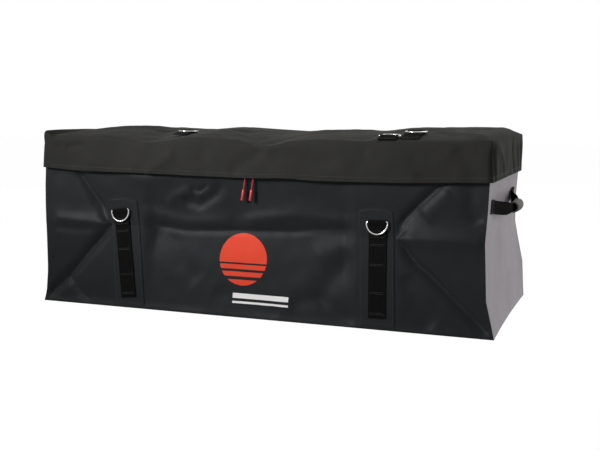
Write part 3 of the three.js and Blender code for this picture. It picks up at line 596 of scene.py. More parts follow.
HEM_Z = [
    (-672, 403), (-574, 397), (-485, 395), (-359, 394), (-205, 391.5), (0, 389), (100, 391), (200, 387),
    (422, 388), (656, 394),
]
END_HEM_REAR_Z = 390
TOP_CREASES = [
    ([(37, -290), (75, -200), (160, -80), (250, 60)], 5, 60, False),
    ([(37, -290), (-20, -190), (-120, -60)], 4, 50, False),
    ([(-300, -290), (-320, -180), (-400, -40)], 5, 60, False),
    ([(-640, -270), (-540, -150), (-420, 60)], -4, 60, False),
    ([(300, -290), (360, -160), (520, -40), (640, 60)], 4, 50, False),
    ([(640, -270), (580, -190), (470, -120)], -4, 45, False),
    ([(655, -60), (560, -20), (430, 80)], 4, 45, False),
    ([(655, 130), (540, 150), (420, 190)], -4, 50, False),
    ([(-655, 20), (-560, 40), (-430, 130)], 4, 50, False),
    ([(100, 270), (140, 170), (90, 60)], 4, 55, False),
    ([(-200, 270), (-240, 150), (-180, 40)], 4, 55, False),
]
FLAP_CREASES = [
    ([(-626, 484), (-592, 452), (-548, 403)], 3, 26, False),
    ([(-592, 464), (-522, 473)], 3, 16, False),
    ([(-320, 395), (-270, 428), (-226, 452)], -3, 30, False),
    ([(-372, 487), (-318, 472), (-280, 470)], 2.5, 18, False),
    ([(37, 470), (-10, 430), (-60, 395)], 3, 34, False),
    ([(60, 468), (150, 440), (260, 430)], 2.5, 34, False),
    ([(560, 480), (600, 440), (618, 395)], 3, 40, False),
    ([(330, 470), (420, 440), (470, 400)], -2, 40, False),
    ([(-130, 480), (-150, 430), (-120, 395)], 2, 36, False),
]
END_FLAP_CREASES = [
    ([(-286, 500), (-266, 470), (-246, 430), (-236, 392)], 8, 30, True),
    ([(-276, 498), (-200, 480), (-125, 444), (-82, 398)], -3.5, 26, False),
    ([(60, 490), (70, 440), (110, 395)], 3, 22, False),
    ([(160, 490), (176, 430), (190, 395)], -2.5, 20, False),
    ([(230, 480), (240, 430), (258, 396)], 2.5, 18, False),
]
# Each lid strap's middle along the bag, its ring bar's place across it, and its length.
LID_STRAPS = {"left": (-250, -150, 62), "right": (438, -176, 88), "edge": (382, -248, 27)}


def lid_reach(x):
    return np.where(x < 0, LID_REACH[-1], LID_REACH[1])


def edge_inset(x, depth):
    """How far the lid's top edge is drawn in at the left end, where the cloth turns down."""
    return np.where(x < 0, TOP_EDGE_INSET, 0.0) * np.clip(1 - depth / 0.22, 0, 1) ** 1.2


def smooth_read(table, place):
    """A table of places and values, read along a soft curve."""
    places, values = np.array(table, float).T
    steps = np.diff(values) / np.diff(places)
    slopes = np.concatenate([[0], (steps[1:] + steps[:-1]) / 2 * (steps[1:] * steps[:-1] > 0), [0]])
    place = np.clip(place, places[0], places[-1])
    i = np.clip(np.searchsorted(places, place) - 1, 0, len(steps) - 1)
    wide = places[i + 1] - places[i]
    t = (place - places[i]) / wide
    return (
        values[i] * (1 + 2 * t) * (1 - t) ** 2 + slopes[i] * wide * t * (1 - t) ** 2
        + values[i + 1] * t * t * (3 - 2 * t) + slopes[i + 1] * wide * t * t * (t - 1)
    )


def lid_top(x, y):
    """Height of the lid's outer face over (x, y)."""
    v = np.clip((y + LID_HALF_WIDTH) / (LID_HALF_WIDTH + LID_REAR_Y), 0, 1)
    edge = smooth_read(FRONT_EDGE_Z, x)
    arch = np.maximum(0, 1 - (1 - 2 * v) ** 2) ** 0.75
    plain = edge + (LID_REAR_Z - edge) * v + smooth_read(CROWN, x) * arch
    drawn, _ = crease_field(x, y, TOP_CREASES)
    drawn += 1.2 * ripple(x, y, 150, 5.0) + 0.4 * ripple(x, y, 55, 8.0)
    free = np.ones_like(x)
    for at_x, bar_y, long in LID_STRAPS.values():
        off = np.maximum(np.abs(x - at_x) - 30, np.abs(y - bar_y + long / 2 - 10) - long / 2 - 26)
        free = np.minimum(free, np.clip(off / 30, 0, 1))
    rim = np.minimum(lid_reach(x) - np.abs(x), LID_REAR_Y - y)
    return plain - drawn * free * np.clip(rim / 40, 0, 1) * np.clip((y + LID_HALF_WIDTH) / 10, 0, 1)


FLAP_U = FLAP_LENGTH / (LID_REACH[-1] + LID_REACH[1] + 2 * FLAP_LENGTH)
FLAP_V = FLAP_LENGTH / (LID_HALF_WIDTH + LID_REAR_Y + FLAP_LENGTH)


def lid_face(u, v):
    """The lid's outer face. FLAP_U and FLAP_V are the shares of the cloth that hang as flaps."""
    across = (2 * u - 1) / (1 - 2 * FLAP_U)
    beyond = np.sign(across) * (1 + (np.abs(2 * u - 1) - 1 + 2 * FLAP_U) / (2 * FLAP_U))
    along = np.where(np.abs(across) > 1, beyond, across)
    up = np.where(v < FLAP_V, v / FLAP_V - 1, (v - FLAP_V) / (1 - FLAP_V))
    end_depth = np.maximum(0, np.abs(along) - 1)
    front_depth = np.maximum(0, -up)
    depth = np.maximum(end_depth, front_depth)
    radius = FLAP_CORNER_RADIUS * np.minimum(1, 3 * depth)
    reach_x = lid_reach(along) + FLAP_FLARE_END * depth - edge_inset(along, depth)
    reach_y = LID_HALF_WIDTH + FLAP_FLARE_FRONT * depth
    share, back = np.clip(along, -1, 1), np.clip(up, 0, 1)
    hand = np.sign(along)
    top_x = share * (lid_reach(along) - edge_inset(along, 0))
    top_y = -LID_HALF_WIDTH + (LID_HALF_WIDTH + LID_REAR_Y) * back
    edge_z = lid_top(top_x, top_y)
    hem = smooth_read(HEM_Z, top_x)
    low = hem + (END_HEM_REAR_Z - hem) * back
    z = edge_z + (low - edge_z) * depth
    corner = (end_depth > 0) & (front_depth > 0)
    safe = np.maximum(1e-9, depth)
    from_front = end_depth / safe * math.pi / 4
    from_end = math.pi / 2 - front_depth / safe * math.pi / 4
    turn = np.where(front_depth >= end_depth, from_front, from_end)
    turn = np.where(corner, turn, np.where(front_depth > 0, 0.0, math.pi / 2))
    x = np.where(depth == 0, top_x, hand * (reach_x - radius + radius * np.sin(turn)))
    x = np.where((front_depth > 0) & ~corner, share * (reach_x - radius), x)
    y = np.where(depth == 0, top_y, -(reach_y - radius + radius * np.cos(turn)))
    end_y = -(reach_y - radius) + (LID_REAR_Y + reach_y - radius) * back
    y = np.where((end_depth > 0) & ~corner, end_y, y)
    hang = np.clip(depth / 0.25, 0, 1)
    on_front, _ = crease_field(x, z, FLAP_CREASES)
    on_front += 1.3 * ripple(x, z, 130, 7.0) + 0.4 * ripple(x, z, 45, 2.5)
    inset = np.clip((lid_reach(x) - np.abs(x)) / 30, 0, 1)
    y = y + np.where(front_depth > 0, on_front * hang * inset, 0)
    on_end, _ = crease_field(y, z, END_FLAP_CREASES)
    on_end += 1.0 * ripple(y, z, 120, 9.0)
    tuck = np.clip((y + reach_y - 2) / 20, 0, 1)
    x = x - np.where(end_depth > 0, hand * on_end * hang * tuck, 0)
    return x, y, z


# Pale tone for sharp folds: partly a scuffed coat, partly a painted highlight.
BROWN_BLACK_WORN_AND_GLINTING = (0.05, 0.048, 0.043)
lid_cloth = coated_cloth("brown_black_cloth", BROWN_BLACK, BROWN_BLACK_WORN_AND_GLINTING, rough=0.62, gloss=0.015)
cloths = [lid_cloth, inner_cloth]
lid = cloth_piece("lid_cloth", 260, 112, lid_face, (1.522, 0.659), CLOTH_THICKNESS, cloths)


def by_lid_edge(vert):
    """Whether a point lies by the front or end edge, where the cloth turns down."""
    x, y, z = vert.co
    outer = y < -0.268 or abs(x) > 0.643
    return outer and z > 0.468 and y < 0.268 and not vert.is_boundary


soften = bmesh.new()
soften.from_mesh(lid.data)
for _ in range(3):
    near_edge = [v for v in soften.verts if by_lid_edge(v)]
    bmesh.ops.smooth_vert(
        soften, verts=near_edge, factor=0.5, use_axis_x=True, use_axis_y=True, use_axis_z=True
    )
soften.to_mesh(lid.data)
soften.free()
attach(lid, "lid")
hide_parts("lid_cover")

# Base: one coated cloth that lies on the floor under the load. It is sewn to the foot of the
# four walls, just inside them.
BASE_UNDER_Z = 1.6


def base_face(u, v):
    hand = np.where(u < 0.5, -1, 1)
    y = (2 * v - 1) * (half_width(0) - 1.4)
    reach = np.where(hand < 0, end_out(-1, y, 0), end_out(1, y, 0)) - 1
    x = (2 * u - 1) * reach
    return x, y, np.full_like(u, BASE_UNDER_Z) + 0.4 * ripple(x, y, 240, 3.0)


cloths = [inner_cloth, back_cloth]
base = cloth_piece("base_cloth", 60, 30, base_face, (1.34, 0.58), CLOTH_THICKNESS, cloths)
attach(base, "bag")
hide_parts("bottom_panel")

# Patches: a second layer of the wall's cloth sewn on behind each long strap, with an arched
# top. They lean a little with the slack wall.
PATCH_BOTTOM_Z = 10
PATCH_ARCH = 9
PATCH_THICKNESS = 1.2
LAYER_LIFT = 2.0
RIM_REACH = 1.6
patch_cloth = coated_cloth("blue_black_patch_cloth", toned(BLUE_BLACK, 1.06), (0.06, 0.062, 0.066))
cloths = [patch_cloth, inner_cloth]
for face, out in (("front", -1), ("back", 1)):
    for side, hand in (("left", -1), ("right", 1)):

        def patch_face(u, v):
            t = (u - 0.5) * -out
            top = PATCH_TOP_Z - PATCH_ARCH * (2 * t) ** 2
            z = PATCH_BOTTOM_Z + (top - PATCH_BOTTOM_Z) * v
            x = patch_centre(hand, z) + t * PATCH_WIDTH
            rim = np.exp(-((0.5 - np.abs(t)) * PATCH_WIDTH / RIM_REACH))
            rim += np.exp(-(1 - v) * (PATCH_TOP_Z - PATCH_BOTTOM_Z) / RIM_REACH)
            lift = LAYER_LIFT - 0.5 * np.minimum(1, rim) + 0.12 * ripple(x, z, 40, 3.0 + hand)
            return x, out * (wall_out(face, x, z)[0] + lift), z

        name = face + "_" + side + "_patch"
        patch = cloth_piece(name + "_cloth", 40, 110, patch_face, (0.096, 0.31), PATCH_THICKNESS, cloths)
        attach(patch, "bag")
        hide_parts(name)


# Webbing: woven polyester tape, with a fine rib across it and a twill between the ribs. The
# zip's tapes are a finer weave of the same kind.
def webbing_material(name, colour, pale, pitch=1.6):
    material, tree, shader = new_material(name)
    place = shade(tree, "ShaderNodeTexCoord")
    split = shade(tree, "ShaderNodeSeparateXYZ")
    tree.links.new(place.outputs["UV"], split.inputs[0])
    x, y = split.outputs["X"], split.outputs["Y"]
    waves = []
    for along, length in ((y, pitch), (x, 2.4), (math_node(tree, "ADD", x, y), 1.9)):
        turns = math_node(tree, "MULTIPLY", along, 2 * math.pi / (length * MM))
        waves.append(math_node(tree, "SINE", turns))
    woven = math_node(tree, "ADD", math_node(tree, "MULTIPLY", waves[0], waves[1]), waves[2])
    fuzz = noise(tree, place.outputs["Object"], 160.0, 4.0)
    raised = math_node(tree, "MULTIPLY_ADD", woven, 0.16, 0.4)
    shown = math_node(tree, "MULTIPLY", raised, fuzz)
    tree.links.new(mix_colour(tree, shown, colour, pale), shader.inputs["Base Color"])
    shader.inputs["Roughness"].default_value = 0.85
    shader.inputs["Specular IOR Level"].default_value = 0.03
    emboss(tree, shader, math_node(tree, "ADD", woven, fuzz), 0.5, 0.0003)
    return material


webbing = webbing_material("black_webbing", (0.0030, 0.0029, 0.0028), (0.0150, 0.0144, 0.0138))
tape_cloth = webbing_material("zip_tape_weave", (0.006, 0.006, 0.0065), (0.035, 0.035, 0.036), 0.9)

# Plated steel: the wire of the rings and the cast and pressed metal of the zip. It is bright,
# with faint handling marks.
def plated_steel(name, colour, rough):
    material, tree, shader = new_material(name)
    place = shade(tree, "ShaderNodeTexCoord").outputs["Object"]
    marks = noise(tree, place, 260.0, 5.0, 0.7)
    cloud = noise(tree, place, 60.0, 2.0)
    tree.links.new(mix_colour(tree, cloud, toned(colour, 0.8), colour), shader.inputs["Base Color"])
    shader.inputs["Metallic"].default_value = 1.0
    dull = math_node(tree, "MULTIPLY_ADD", marks, 0.22, rough - 0.1)
    tree.links.new(dull, shader.inputs["Roughness"])
    emboss(tree, shader, marks, 0.08, 0.0002)
    return material


steel = plated_steel("plated_steel", (0.52, 0.51, 0.49), 0.26)


def tube(name, routes, radius, material, cyclic=False, sides=3):
    """Round wire, cord or thread along each route of points in millimetres, as one mesh."""
    line = bpy.data.curves.new(name, "CURVE")
    line.dimensions = "3D"
    line.bevel_depth = radius * MM
    line.bevel_resolution = sides
    line.use_fill_caps = True
    for route in routes:
        spline = line.splines.new("POLY")
        spline.points.add(len(route) - 1)
        for point, place in zip(spline.points, route):
            point.co = (place[0] * MM, place[1] * MM, place[2] * MM, 1)
        spline.use_cyclic_u = cyclic
    holder = add_object(name + "_line", line)
    depsgraph = bpy.context.evaluated_depsgraph_get()
    mesh = bpy.data.meshes.new_from_object(holder.evaluated_get(depsgraph), depsgraph=depsgraph)
    bpy.data.objects.remove(holder)
    bpy.data.curves.remove(line)
    mesh.name = name
    mesh.materials.clear()
    mesh.materials.append(material)
    for polygon in mesh.polygons:
        polygon.use_smooth = True
    mesh.set_sharp_from_angle(angle=math.radians(60))
    return add_object(name, mesh)


# D-rings: bent from 4 mm wire, welded shut and plated. Each hangs by its straight bar in a
# webbing loop, and swings there.
RING_WIRE = 2.0
RING_HALF_WIDTH = 28.5
RING_CORNER = 4
RING_DROP = 33
# The middle of each ring's bar, and the pitch and turn of its ring in degrees.
RINGS = {
    "front_left": ((-414, -277.95, 284), -6.35, -7.0),
    "front_right": ((360, -277.95, 284), -6.35, -1.5),
    "back_left": ((-414, 277.95, 284), 6.35, -7.0),
    "back_right": ((360, 277.95, 284), 6.35, -1.5),
    "lid_left": ((-250, -150.37, 510.11), -90.49, 0.0),
    "lid_right": ((438, -176.52, 516.08), -88.28, 0.0),
    "lid_edge": ((382, -248.97, 505.63), 95.45, 0.0),
}
straight = RING_HALF_WIDTH - RING_CORNER
ring_loop = [(x, 0.0) for x in np.linspace(-straight + 3, straight - 3, 13)]
for angle in np.radians(np.linspace(0, 90, 7)):
    ring_loop.append((straight + RING_CORNER * math.sin(angle), RING_CORNER * (math.cos(angle) - 1)))
for angle in np.linspace(0, math.pi, 41)[1:-1]:
    drop = RING_CORNER + (RING_DROP - RING_CORNER) * math.sin(angle)
    ring_loop.append((RING_HALF_WIDTH * math.cos(angle), -drop))
for angle in np.radians(np.linspace(90, 0, 7)):
    ring_loop.append((-straight - RING_CORNER * math.sin(angle), RING_CORNER * (math.cos(angle) - 1)))
for name, (pin, pitch, turn) in RINGS.items():
    swing = Matrix.Rotation(math.radians(turn), 3, "Y") @ Matrix.Rotation(math.radians(pitch), 3, "X")
    route = [Vector(pin) + swing @ Vector((x, 0, z)) for x, z in ring_loop]
    ring = tube(name + "_d_ring", [route], RING_WIRE, steel, cyclic=True, sides=5)
    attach(ring, name + "_ring")
    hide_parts(name + "_ring")

# Straps: webbing sewn down on its patch or on the lid. It runs up, over a ring's bar and
# a short way back down under a box of stitches.
WEBBING_WIDTH = 48
WEBBING_THICKNESS = 1.5
WEBBING_MID = 1.1
TAIL_MID = 3.05
LOOP_MID = 3.6
BAR_LIFT = 4.7
STRAP_TAIL = 45
STRAP_BOTTOM_Z = 30
RING_BAR_Z = 284
THREAD_RADIUS = 0.35
THREAD_LIFT = 0.95


def strap_line(length):
    """The strap's middle line as distances from the bar and lifts, each 2 mm apart."""
    line = [(d, WEBBING_MID) for d in np.linspace(length, 5, max(3, int(length / 2.5)))]
    for angle in np.radians(np.linspace(-90, 90, 15)):
        line.append((-LOOP_MID * math.cos(angle), BAR_LIFT + LOOP_MID * math.sin(angle)))
    tail = min(STRAP_TAIL, length)
    line += [(4, BAR_LIFT + 2.6), (8, BAR_LIFT + 0.9), (12, TAIL_MID + 0.4)]
    line += [(d, TAIL_MID) for d in np.linspace(15, tail, max(3, int(tail / 2.5)))]
    return line


def strap_piece(name, length, place, body, node):
    """Webbing along strap_line, where place(across, down, lift) gives a point of it."""
    line = strap_line(length)
    rows = len(line) - 1
    bm = bmesh.new()
    bmesh.ops.create_grid(bm, x_segments=12, y_segments=rows, size=0.5)
    run = run_along(line)
    uv = bm.loops.layers.uv.new("cloth")
    for f in bm.faces:
        f.smooth = True
        for corner in f.loops:
            row = round((corner.vert.co.y + 0.5) * rows)
            corner[uv].uv = ((corner.vert.co.x + 0.5) * WEBBING_WIDTH * MM, run[row] * MM)
    for vert in bm.verts:
        row = round((vert.co.y + 0.5) * rows)
        t = -vert.co.x * WEBBING_WIDTH
        soft = 0.25 * math.sin(run[row] / 9.0) * (2 * abs(vert.co.x)) ** 2
        lift = line[row][1] + soft * (0.2 if row < 4 else 1)
        vert.co = Vector(place(t, line[row][0], lift)) * MM
    mesh = mesh_from(bm, name)
    mesh.materials.append(webbing)
    strap = add_object(name, mesh)
    thicken = strap.modifiers.new("thickness", "SOLIDIFY")
    thicken.thickness = WEBBING_THICKNESS * MM
    thicken.offset = 0
    settle(strap)
    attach(strap, body)
    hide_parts(node)


thread = mottled("black_thread", (0.005, 0.005, 0.0055), (0.020, 0.020, 0.021), 900.0, 2.0, 0.6)


def stitches(rows, pitch=4.2, gap=1.2):
    """Short lengths of thread along rows of points in millimetres."""
    made = []
    for row in rows:
        row = np.array(row, float)
        run = run_along(row)
        for start in np.arange(gap, run[-1] - pitch + gap, pitch):
            at = [start, start + (pitch - gap) / 2, start + pitch - gap]
            made.append(np.stack([np.interp(at, run, row[:, k]) for k in range(3)], -1))
    return made


wall_rows = {}
for face, out in (("front", -1), ("back", 1)):
    for side, hand, bar_x, lean in (("left", -1, -414, 7.0), ("right", 1, 360, 1.5)):
        slope = math.radians(lean)
        middle = hand * (FOLD_APEX[hand] - PATCH_MARGIN - PATCH_WIDTH / 2)

        def on_wall(t, d, lift):
            t = t * -out
            z = RING_BAR_Z - d
            carrier = float(half_width(z) - fold_depth(np.array([middle]), np.array([z]))[0]) + 2.2
            across = t * math.cos(slope) + d * math.sin(slope)
            down = d * math.cos(slope) - t * math.sin(slope)
            return bar_x + across, out * (carrier + lift), RING_BAR_Z - down

        length = (RING_BAR_Z - STRAP_BOTTOM_Z) / math.cos(slope)
        name = face + "_" + side + "_strap"
        strap_piece(name + "_webbing", length, on_wall, "bag", name)
        rows = []
        on_tail = TAIL_MID + THREAD_LIFT
        for d in (STRAP_TAIL - 4, STRAP_TAIL - 20):
            rows.append([on_wall(t, d, on_tail) for t in np.linspace(-20, 20, 9)])
        for t in (-20, 20):
            rows.append([on_wall(t, d, on_tail) for d in np.linspace(STRAP_TAIL - 20, STRAP_TAIL - 4, 5)])
        for d in (60, 64, 112, 116, 186, 190, 240, 244):
            rows.append([on_wall(t, d, WEBBING_MID + THREAD_LIFT) for t in np.linspace(-21, 21, 9)])
        wall_rows[face, side] = rows
for face in ("front", "back"):
    rows = wall_rows[face, "left"] + wall_rows[face, "right"]
    seam = tube(face + "_strap_stitches", stitches(rows), THREAD_RADIUS, thread, sides=1)
    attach(seam, "bag")

lid_rows = []
for name, (at_x, bar_y, long) in LID_STRAPS.items():
    run_y = np.linspace(bar_y - long - 12, bar_y + 12, 50)
    heights = [lid_top(np.full(50, at_x + t, float), run_y) for t in (-24, -12, 0, 12, 24)]
    levels = np.max(heights, axis=0) + 0.9

    def lid_over(y):
        return float(np.interp(y, run_y, levels))

    pin = RINGS["lid_" + name][0]
    slope = math.atan2(lid_over(bar_y + 6) - lid_over(bar_y - 6), 12)

    def on_lid(t, d, lift):
        foot = bar_y - d * math.cos(slope)
        level = lid_over(foot)
        if d <= 12:
            level = lid_over(bar_y) + (lid_over(bar_y - 12) - lid_over(bar_y)) * max(0, d) / 12
        drift = pin[2] - (lid_over(bar_y) + BAR_LIFT * math.cos(slope))
        near = max(0.0, 1 - max(0, d) / 20)
        return at_x + t, foot - lift * math.sin(slope), level + lift * math.cos(slope) + drift * near

    strap_piece("lid_" + name + "_strap_webbing", long, on_lid, "lid", "lid_" + name + "_strap")
    tail = min(STRAP_TAIL, long) - 3
    places = [(tail, TAIL_MID)]
    if long > 40:
        places += [(tail - 14, TAIL_MID), (long - 3, WEBBING_MID)]
    for d, level in places:
        lid_rows.append([on_lid(t, d, level + THREAD_LIFT) for t in np.linspace(-20, 20, 9)])
seam = tube("lid_strap_stitches", stitches(lid_rows), THREAD_RADIUS, thread, sides=1)
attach(seam, "lid")

# Carry handles: webbing sewn to the end wall at both ends, running through a tube of foam
# that bows a little where a hand has pulled it.
HANDLE_WIDTH = 36
HANDLE_Z = 326
HANDLE_SAG = 15
HANDLE_SEWN_Y = 220
HANDLE_FREE_Y = 188
GRIP_X = 680.97
GRIP_LENGTH = 104
GRIP_BOW = 4
GRIP_RADIUS = 15
GRIP_BORE = 10.8
WEB_IN_BORE = GRIP_BORE - 0.9
half = GRIP_LENGTH / 2
foam = mottled("grey_brown_foam", (0.085, 0.080, 0.076), (0.175, 0.166, 0.158), 45.0, 5.0, 0.8)
foam_shader = foam.node_tree.nodes["Principled BSDF"]
foam_shader.inputs["Specular IOR Level"].default_value = 0.25
cells = shade(foam.node_tree, "ShaderNodeTexVoronoi", Scale=900.0)
foam_place = shade(foam.node_tree, "ShaderNodeTexCoord")
foam.node_tree.links.new(foam_place.outputs["Object"], cells.inputs["Vector"])
emboss(foam.node_tree, foam_shader, cells.outputs["Distance"], 0.35, 0.0004)
for side, hand in (("left", -1), ("right", 1)):

    def web_face(u, v):
        y = (2 * u - 1) * HANDLE_SEWN_Y * hand
        away = np.abs(y)
        leave = np.clip((away - half - 1) / (HANDLE_FREE_Y - half - 1), 0, 1)
        narrow = WEB_IN_BORE + (HANDLE_WIDTH / 2 - WEB_IN_BORE) * np.clip(leave * 3, 0, 1)
        z = HANDLE_Z - HANDLE_SAG * (1 - leave ** 2) + (2 * v - 1) * narrow
        sewn = end_out(hand, y, z) + 0.9
        loose = GRIP_X - GRIP_BOW * (np.minimum(half + 1, away) / half) ** 2 - 0.8
        cup = 0.9 * (2 * v - 1) ** 2 * (1 - ease(leave))
        return hand * (loose + (sewn - loose) * ease(leave) + 1.5 - cup), y, z

    web_name = side + "_handle_webbing"
    web = cloth_piece(web_name, 150, 12, web_face, (0.47, 0.036), WEBBING_THICKNESS, [webbing])
    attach(web, "bag")
    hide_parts(side + "_handle_web")
    grip_bm = bmesh.new()
    rounded_end = [(GRIP_RADIUS, half - 2), (GRIP_RADIUS - 0.5, half - 0.6), (GRIP_RADIUS - 1.6, half)]
    rounded_end.append((GRIP_BORE, half))
    section = [(r, -y) for r, y in rounded_end[::-1]]
    for k, y in enumerate(np.linspace(-half + 6, half - 6, 18)):
        section.append((GRIP_RADIUS + 0.15 * math.sin(k * 1.9), y))
    section += rounded_end
    section += [(GRIP_BORE, y) for y in np.linspace(half, -half, 12)[1:-1]]
    ring_verts = [grip_bm.verts.new((r * MM, y * MM, 0)) for r, y in section]
    ring_edges = [grip_bm.edges.new((a, b)) for a, b in zip(ring_verts, ring_verts[1:] + ring_verts[:1])]
    bmesh.ops.spin(
        grip_bm, geom=ring_verts + ring_edges, cent=(0, 0, 0), axis=(0, 1, 0), angle=2 * math.pi,
        steps=40, use_merge=True,
    )
    for vert in grip_bm.verts:
        vert.co.x += hand * (GRIP_X - GRIP_BOW * (vert.co.y / MM / half) ** 2) * MM
        vert.co.z += (HANDLE_Z - HANDLE_SAG) * MM
    bmesh.ops.recalc_face_normals(grip_bm, faces=grip_bm.faces)
    for f in grip_bm.faces:
        f.smooth = True
    grip_mesh = mesh_from(grip_bm, side + "_foam_grip")
    grip_mesh.set_sharp_from_angle(angle=math.radians(50))
    grip_mesh.materials.append(foam)
    grip = add_object(side + "_foam_grip", grip_mesh)
    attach(grip, "bag")
    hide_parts(side + "_handle_grip")
    rows = []
    near, far = HANDLE_SEWN_Y - 26, HANDLE_SEWN_Y - 4
    box = [(far, -14), (far, 14), (near, 14), (near, -14), (far, -14), (near, 14)]
    route = []
    for (ya, za), (yb, zb) in zip(box, box[1:]):
        route += [(ya + (yb - ya) * t, za + (zb - za) * t) for t in np.linspace(0, 1, 6)]
    for end in (-1, 1):
        row = []
        for y, z in route:
            out_x = float(end_out(hand, end * y, HANDLE_Z + z)) + 2.5
            row.append((hand * out_x, end * y, HANDLE_Z + z))
        rows.append(row)
    seam = tube(side + "_handle_stitches", stitches(rows), THREAD_RADIUS, thread, sides=1)
    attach(seam, "bag")

# Zip: two woven tapes with moulded teeth. It runs along the left end, round the front and
# along the right end. The lower half is sewn to the walls, the upper half to the lid's band.
ZIP_CORNER_RADIUS = 14
ZIP_REAR_Y = 233.0
TAPE_MID = -2.2
TOOTH_PITCH = 3.2
TAPE_OFFSET = -1.8
TAPE_THICKNESS = 0.8
CORNER_FOLD_X = 643.8


def zip_route(spacing):
    """Places along the zip, each as a function of height and offset from the wall's face."""
    def on_end(hand, y):
        return lambda z, offset: (hand * (float(end_out(hand, y, z)) + offset), y)

    def on_corner(hand, turn):
        def place(z, offset):
            reach = ZIP_CORNER_RADIUS + offset
            folded = fold_depth(np.array([CORNER_FOLD_X]), np.array([z]))[0]
            y = -(float(half_width(z) - folded) - ZIP_CORNER_RADIUS) - reach * math.cos(turn)
            return hand * (float(end_out(hand, y, z)) - ZIP_CORNER_RADIUS + reach * math.sin(turn)), y
        return place

    def on_front(x):
        return lambda z, offset: (x, -(float(half_width(z)) + offset))

    ends = np.linspace(ZIP_REAR_Y, -259, max(3, int(492 / spacing)))
    turns = np.radians(np.linspace(80, 10, max(2, int(22 / spacing))))
    front = np.linspace(-652, 632, max(3, int(1284 / spacing)))
    left = [on_end(-1, y) for y in ends] + [on_corner(-1, t) for t in turns]
    right = [on_corner(1, t) for t in turns[::-1]] + [on_end(1, y) for y in ends[::-1]]
    return left + [on_front(x) for x in front] + right


def zip_strip(name, low, high, offset, thickness, materials, node, body, slot):
    """A strip of tape or cloth along the zip, from one height to another. It leans as the wall."""
    route = zip_route(12)
    spots = [place(float(low), offset) for place in route]
    x, y = np.array(spots).T
    leaning_x, leaning_y = np.array([place(float(low) + 40, offset) for place in route]).T
    top = np.array([high(a, b) for a, b in spots]) if callable(high) else np.full(len(route), float(high))

    def strip_face(u, v):
        i = np.rint(u * (len(route) - 1)).astype(int)
        z = low + (top[i] - low) * v
        share = (z - low) / 40
        return x[i] + (leaning_x - x)[i] * share, y[i] + (leaning_y - y)[i] * share, z

    strip = cloth_piece(name, len(route) - 1, 6, strip_face, (2.27, 0.02), thickness, materials)
    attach(strip, body)
    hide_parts(node)
    return strip


def under_lid(x, y):
    heights = [lid_top(np.array([x + t], float), np.array([y], float))[0] for t in (-5, 0, 5)]
    return float(min(heights)) - 2.6


tape = (TAPE_OFFSET, TAPE_THICKNESS, [tape_cloth])
zip_strip("lower_zip_tape", 396.2, 413.2, *tape, "zip_tape_lower", "bag", "zip")
zip_strip("upper_zip_tape", 422.8, 439.8, *tape, "zip_tape_upper", "lid", "zip")
band_cloth = (-0.2, CLOTH_THICKNESS, [grey_cloth, inner_grey])
band = zip_strip("lid_band", 424, under_lid, *band_cloth, "lid_inner_band", "lid", "end_cloth")

# Teeth: rounded blocks of black plastic, moulded on each tape's cord. Those of the two halves
# are set alternately.
TOOTH_SIZE = (2.0, 3.2, 3.5)
TOOTH_ROUNDING = 0.35
TOOTH_TONES = (0.008, 0.008, 0.009), (0.022, 0.022, 0.023)
teeth_plastic = mottled("black_tooth_plastic", *TOOTH_TONES, 500.0, 2.0, 0.38)
ZIP_HALVES = [
    ("lower", 415.35, 0.0, "zip_chain_lower", "bag"),
    ("upper", 420.65, 0.5, "zip_chain_upper", "lid"),
]
for half, mid_z, shift, node, body in ZIP_HALVES:
    spots = np.array([place(mid_z, TAPE_MID) for place in zip_route(6)])
    run = run_along(spots)
    teeth = bmesh.new()
    for at in np.arange((0.6 + shift) * TOOTH_PITCH, run[-1] - 1, TOOTH_PITCH):
        x, y = np.interp(at, run, spots[:, 0]), np.interp(at, run, spots[:, 1])
        ahead = (np.interp(at + 1, run, spots[:, 0]) - x, np.interp(at + 1, run, spots[:, 1]) - y)
        turn = Matrix.Rotation(math.atan2(ahead[1], ahead[0]), 4, "Z")
        stand = Matrix.Translation(Vector((x, y, mid_z)) * MM) @ turn
        stand = stand @ Matrix.Diagonal((*(length * MM for length in TOOTH_SIZE), 1))
        bmesh.ops.create_cube(teeth, size=1, matrix=stand)
    bmesh.ops.bevel(
        teeth, geom=teeth.edges[:], offset=TOOTH_ROUNDING * MM, segments=1, profile=0.5, affect="EDGES",
        material=-1,
    )
    teeth_mesh = mesh_from(teeth, half + "_zip_teeth")
    teeth_mesh.materials.append(teeth_plastic)
    chain = add_object(half + "_zip_teeth", teeth_mesh)
    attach(chain, body)
    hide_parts(node)


def rounded_copy(name, node, material, body, edge):
    """A CAD node's shape with its outer edges rounded."""
    made = bmesh.new()
    made.from_mesh(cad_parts[node].data)
    bmesh.ops.remove_doubles(made, verts=made.verts, dist=0.00002)
    bmesh.ops.dissolve_limit(made, angle_limit=math.radians(4), verts=made.verts, edges=made.edges)
    if edge:
        inner = [e for e in made.edges if len(e.link_faces) == 2]
        crisp = [e for e in inner if e.calc_face_angle(0) > math.radians(50)]
        bmesh.ops.bevel(
            made, geom=crisp, offset=edge * MM, segments=2, profile=0.5, affect="EDGES", material=-1,
            clamp_overlap=True,
        )
    bmesh.ops.recalc_face_normals(made, faces=made.faces)
    for f in made.faces:
        f.smooth = True
        f.material_index = 0
    mesh = mesh_from(made, name)
    mesh.set_sharp_from_angle(angle=math.radians(40))
    mesh.materials.append(material)
    piece = add_object(name, mesh)
    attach(piece, body)
    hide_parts(node)
    return piece


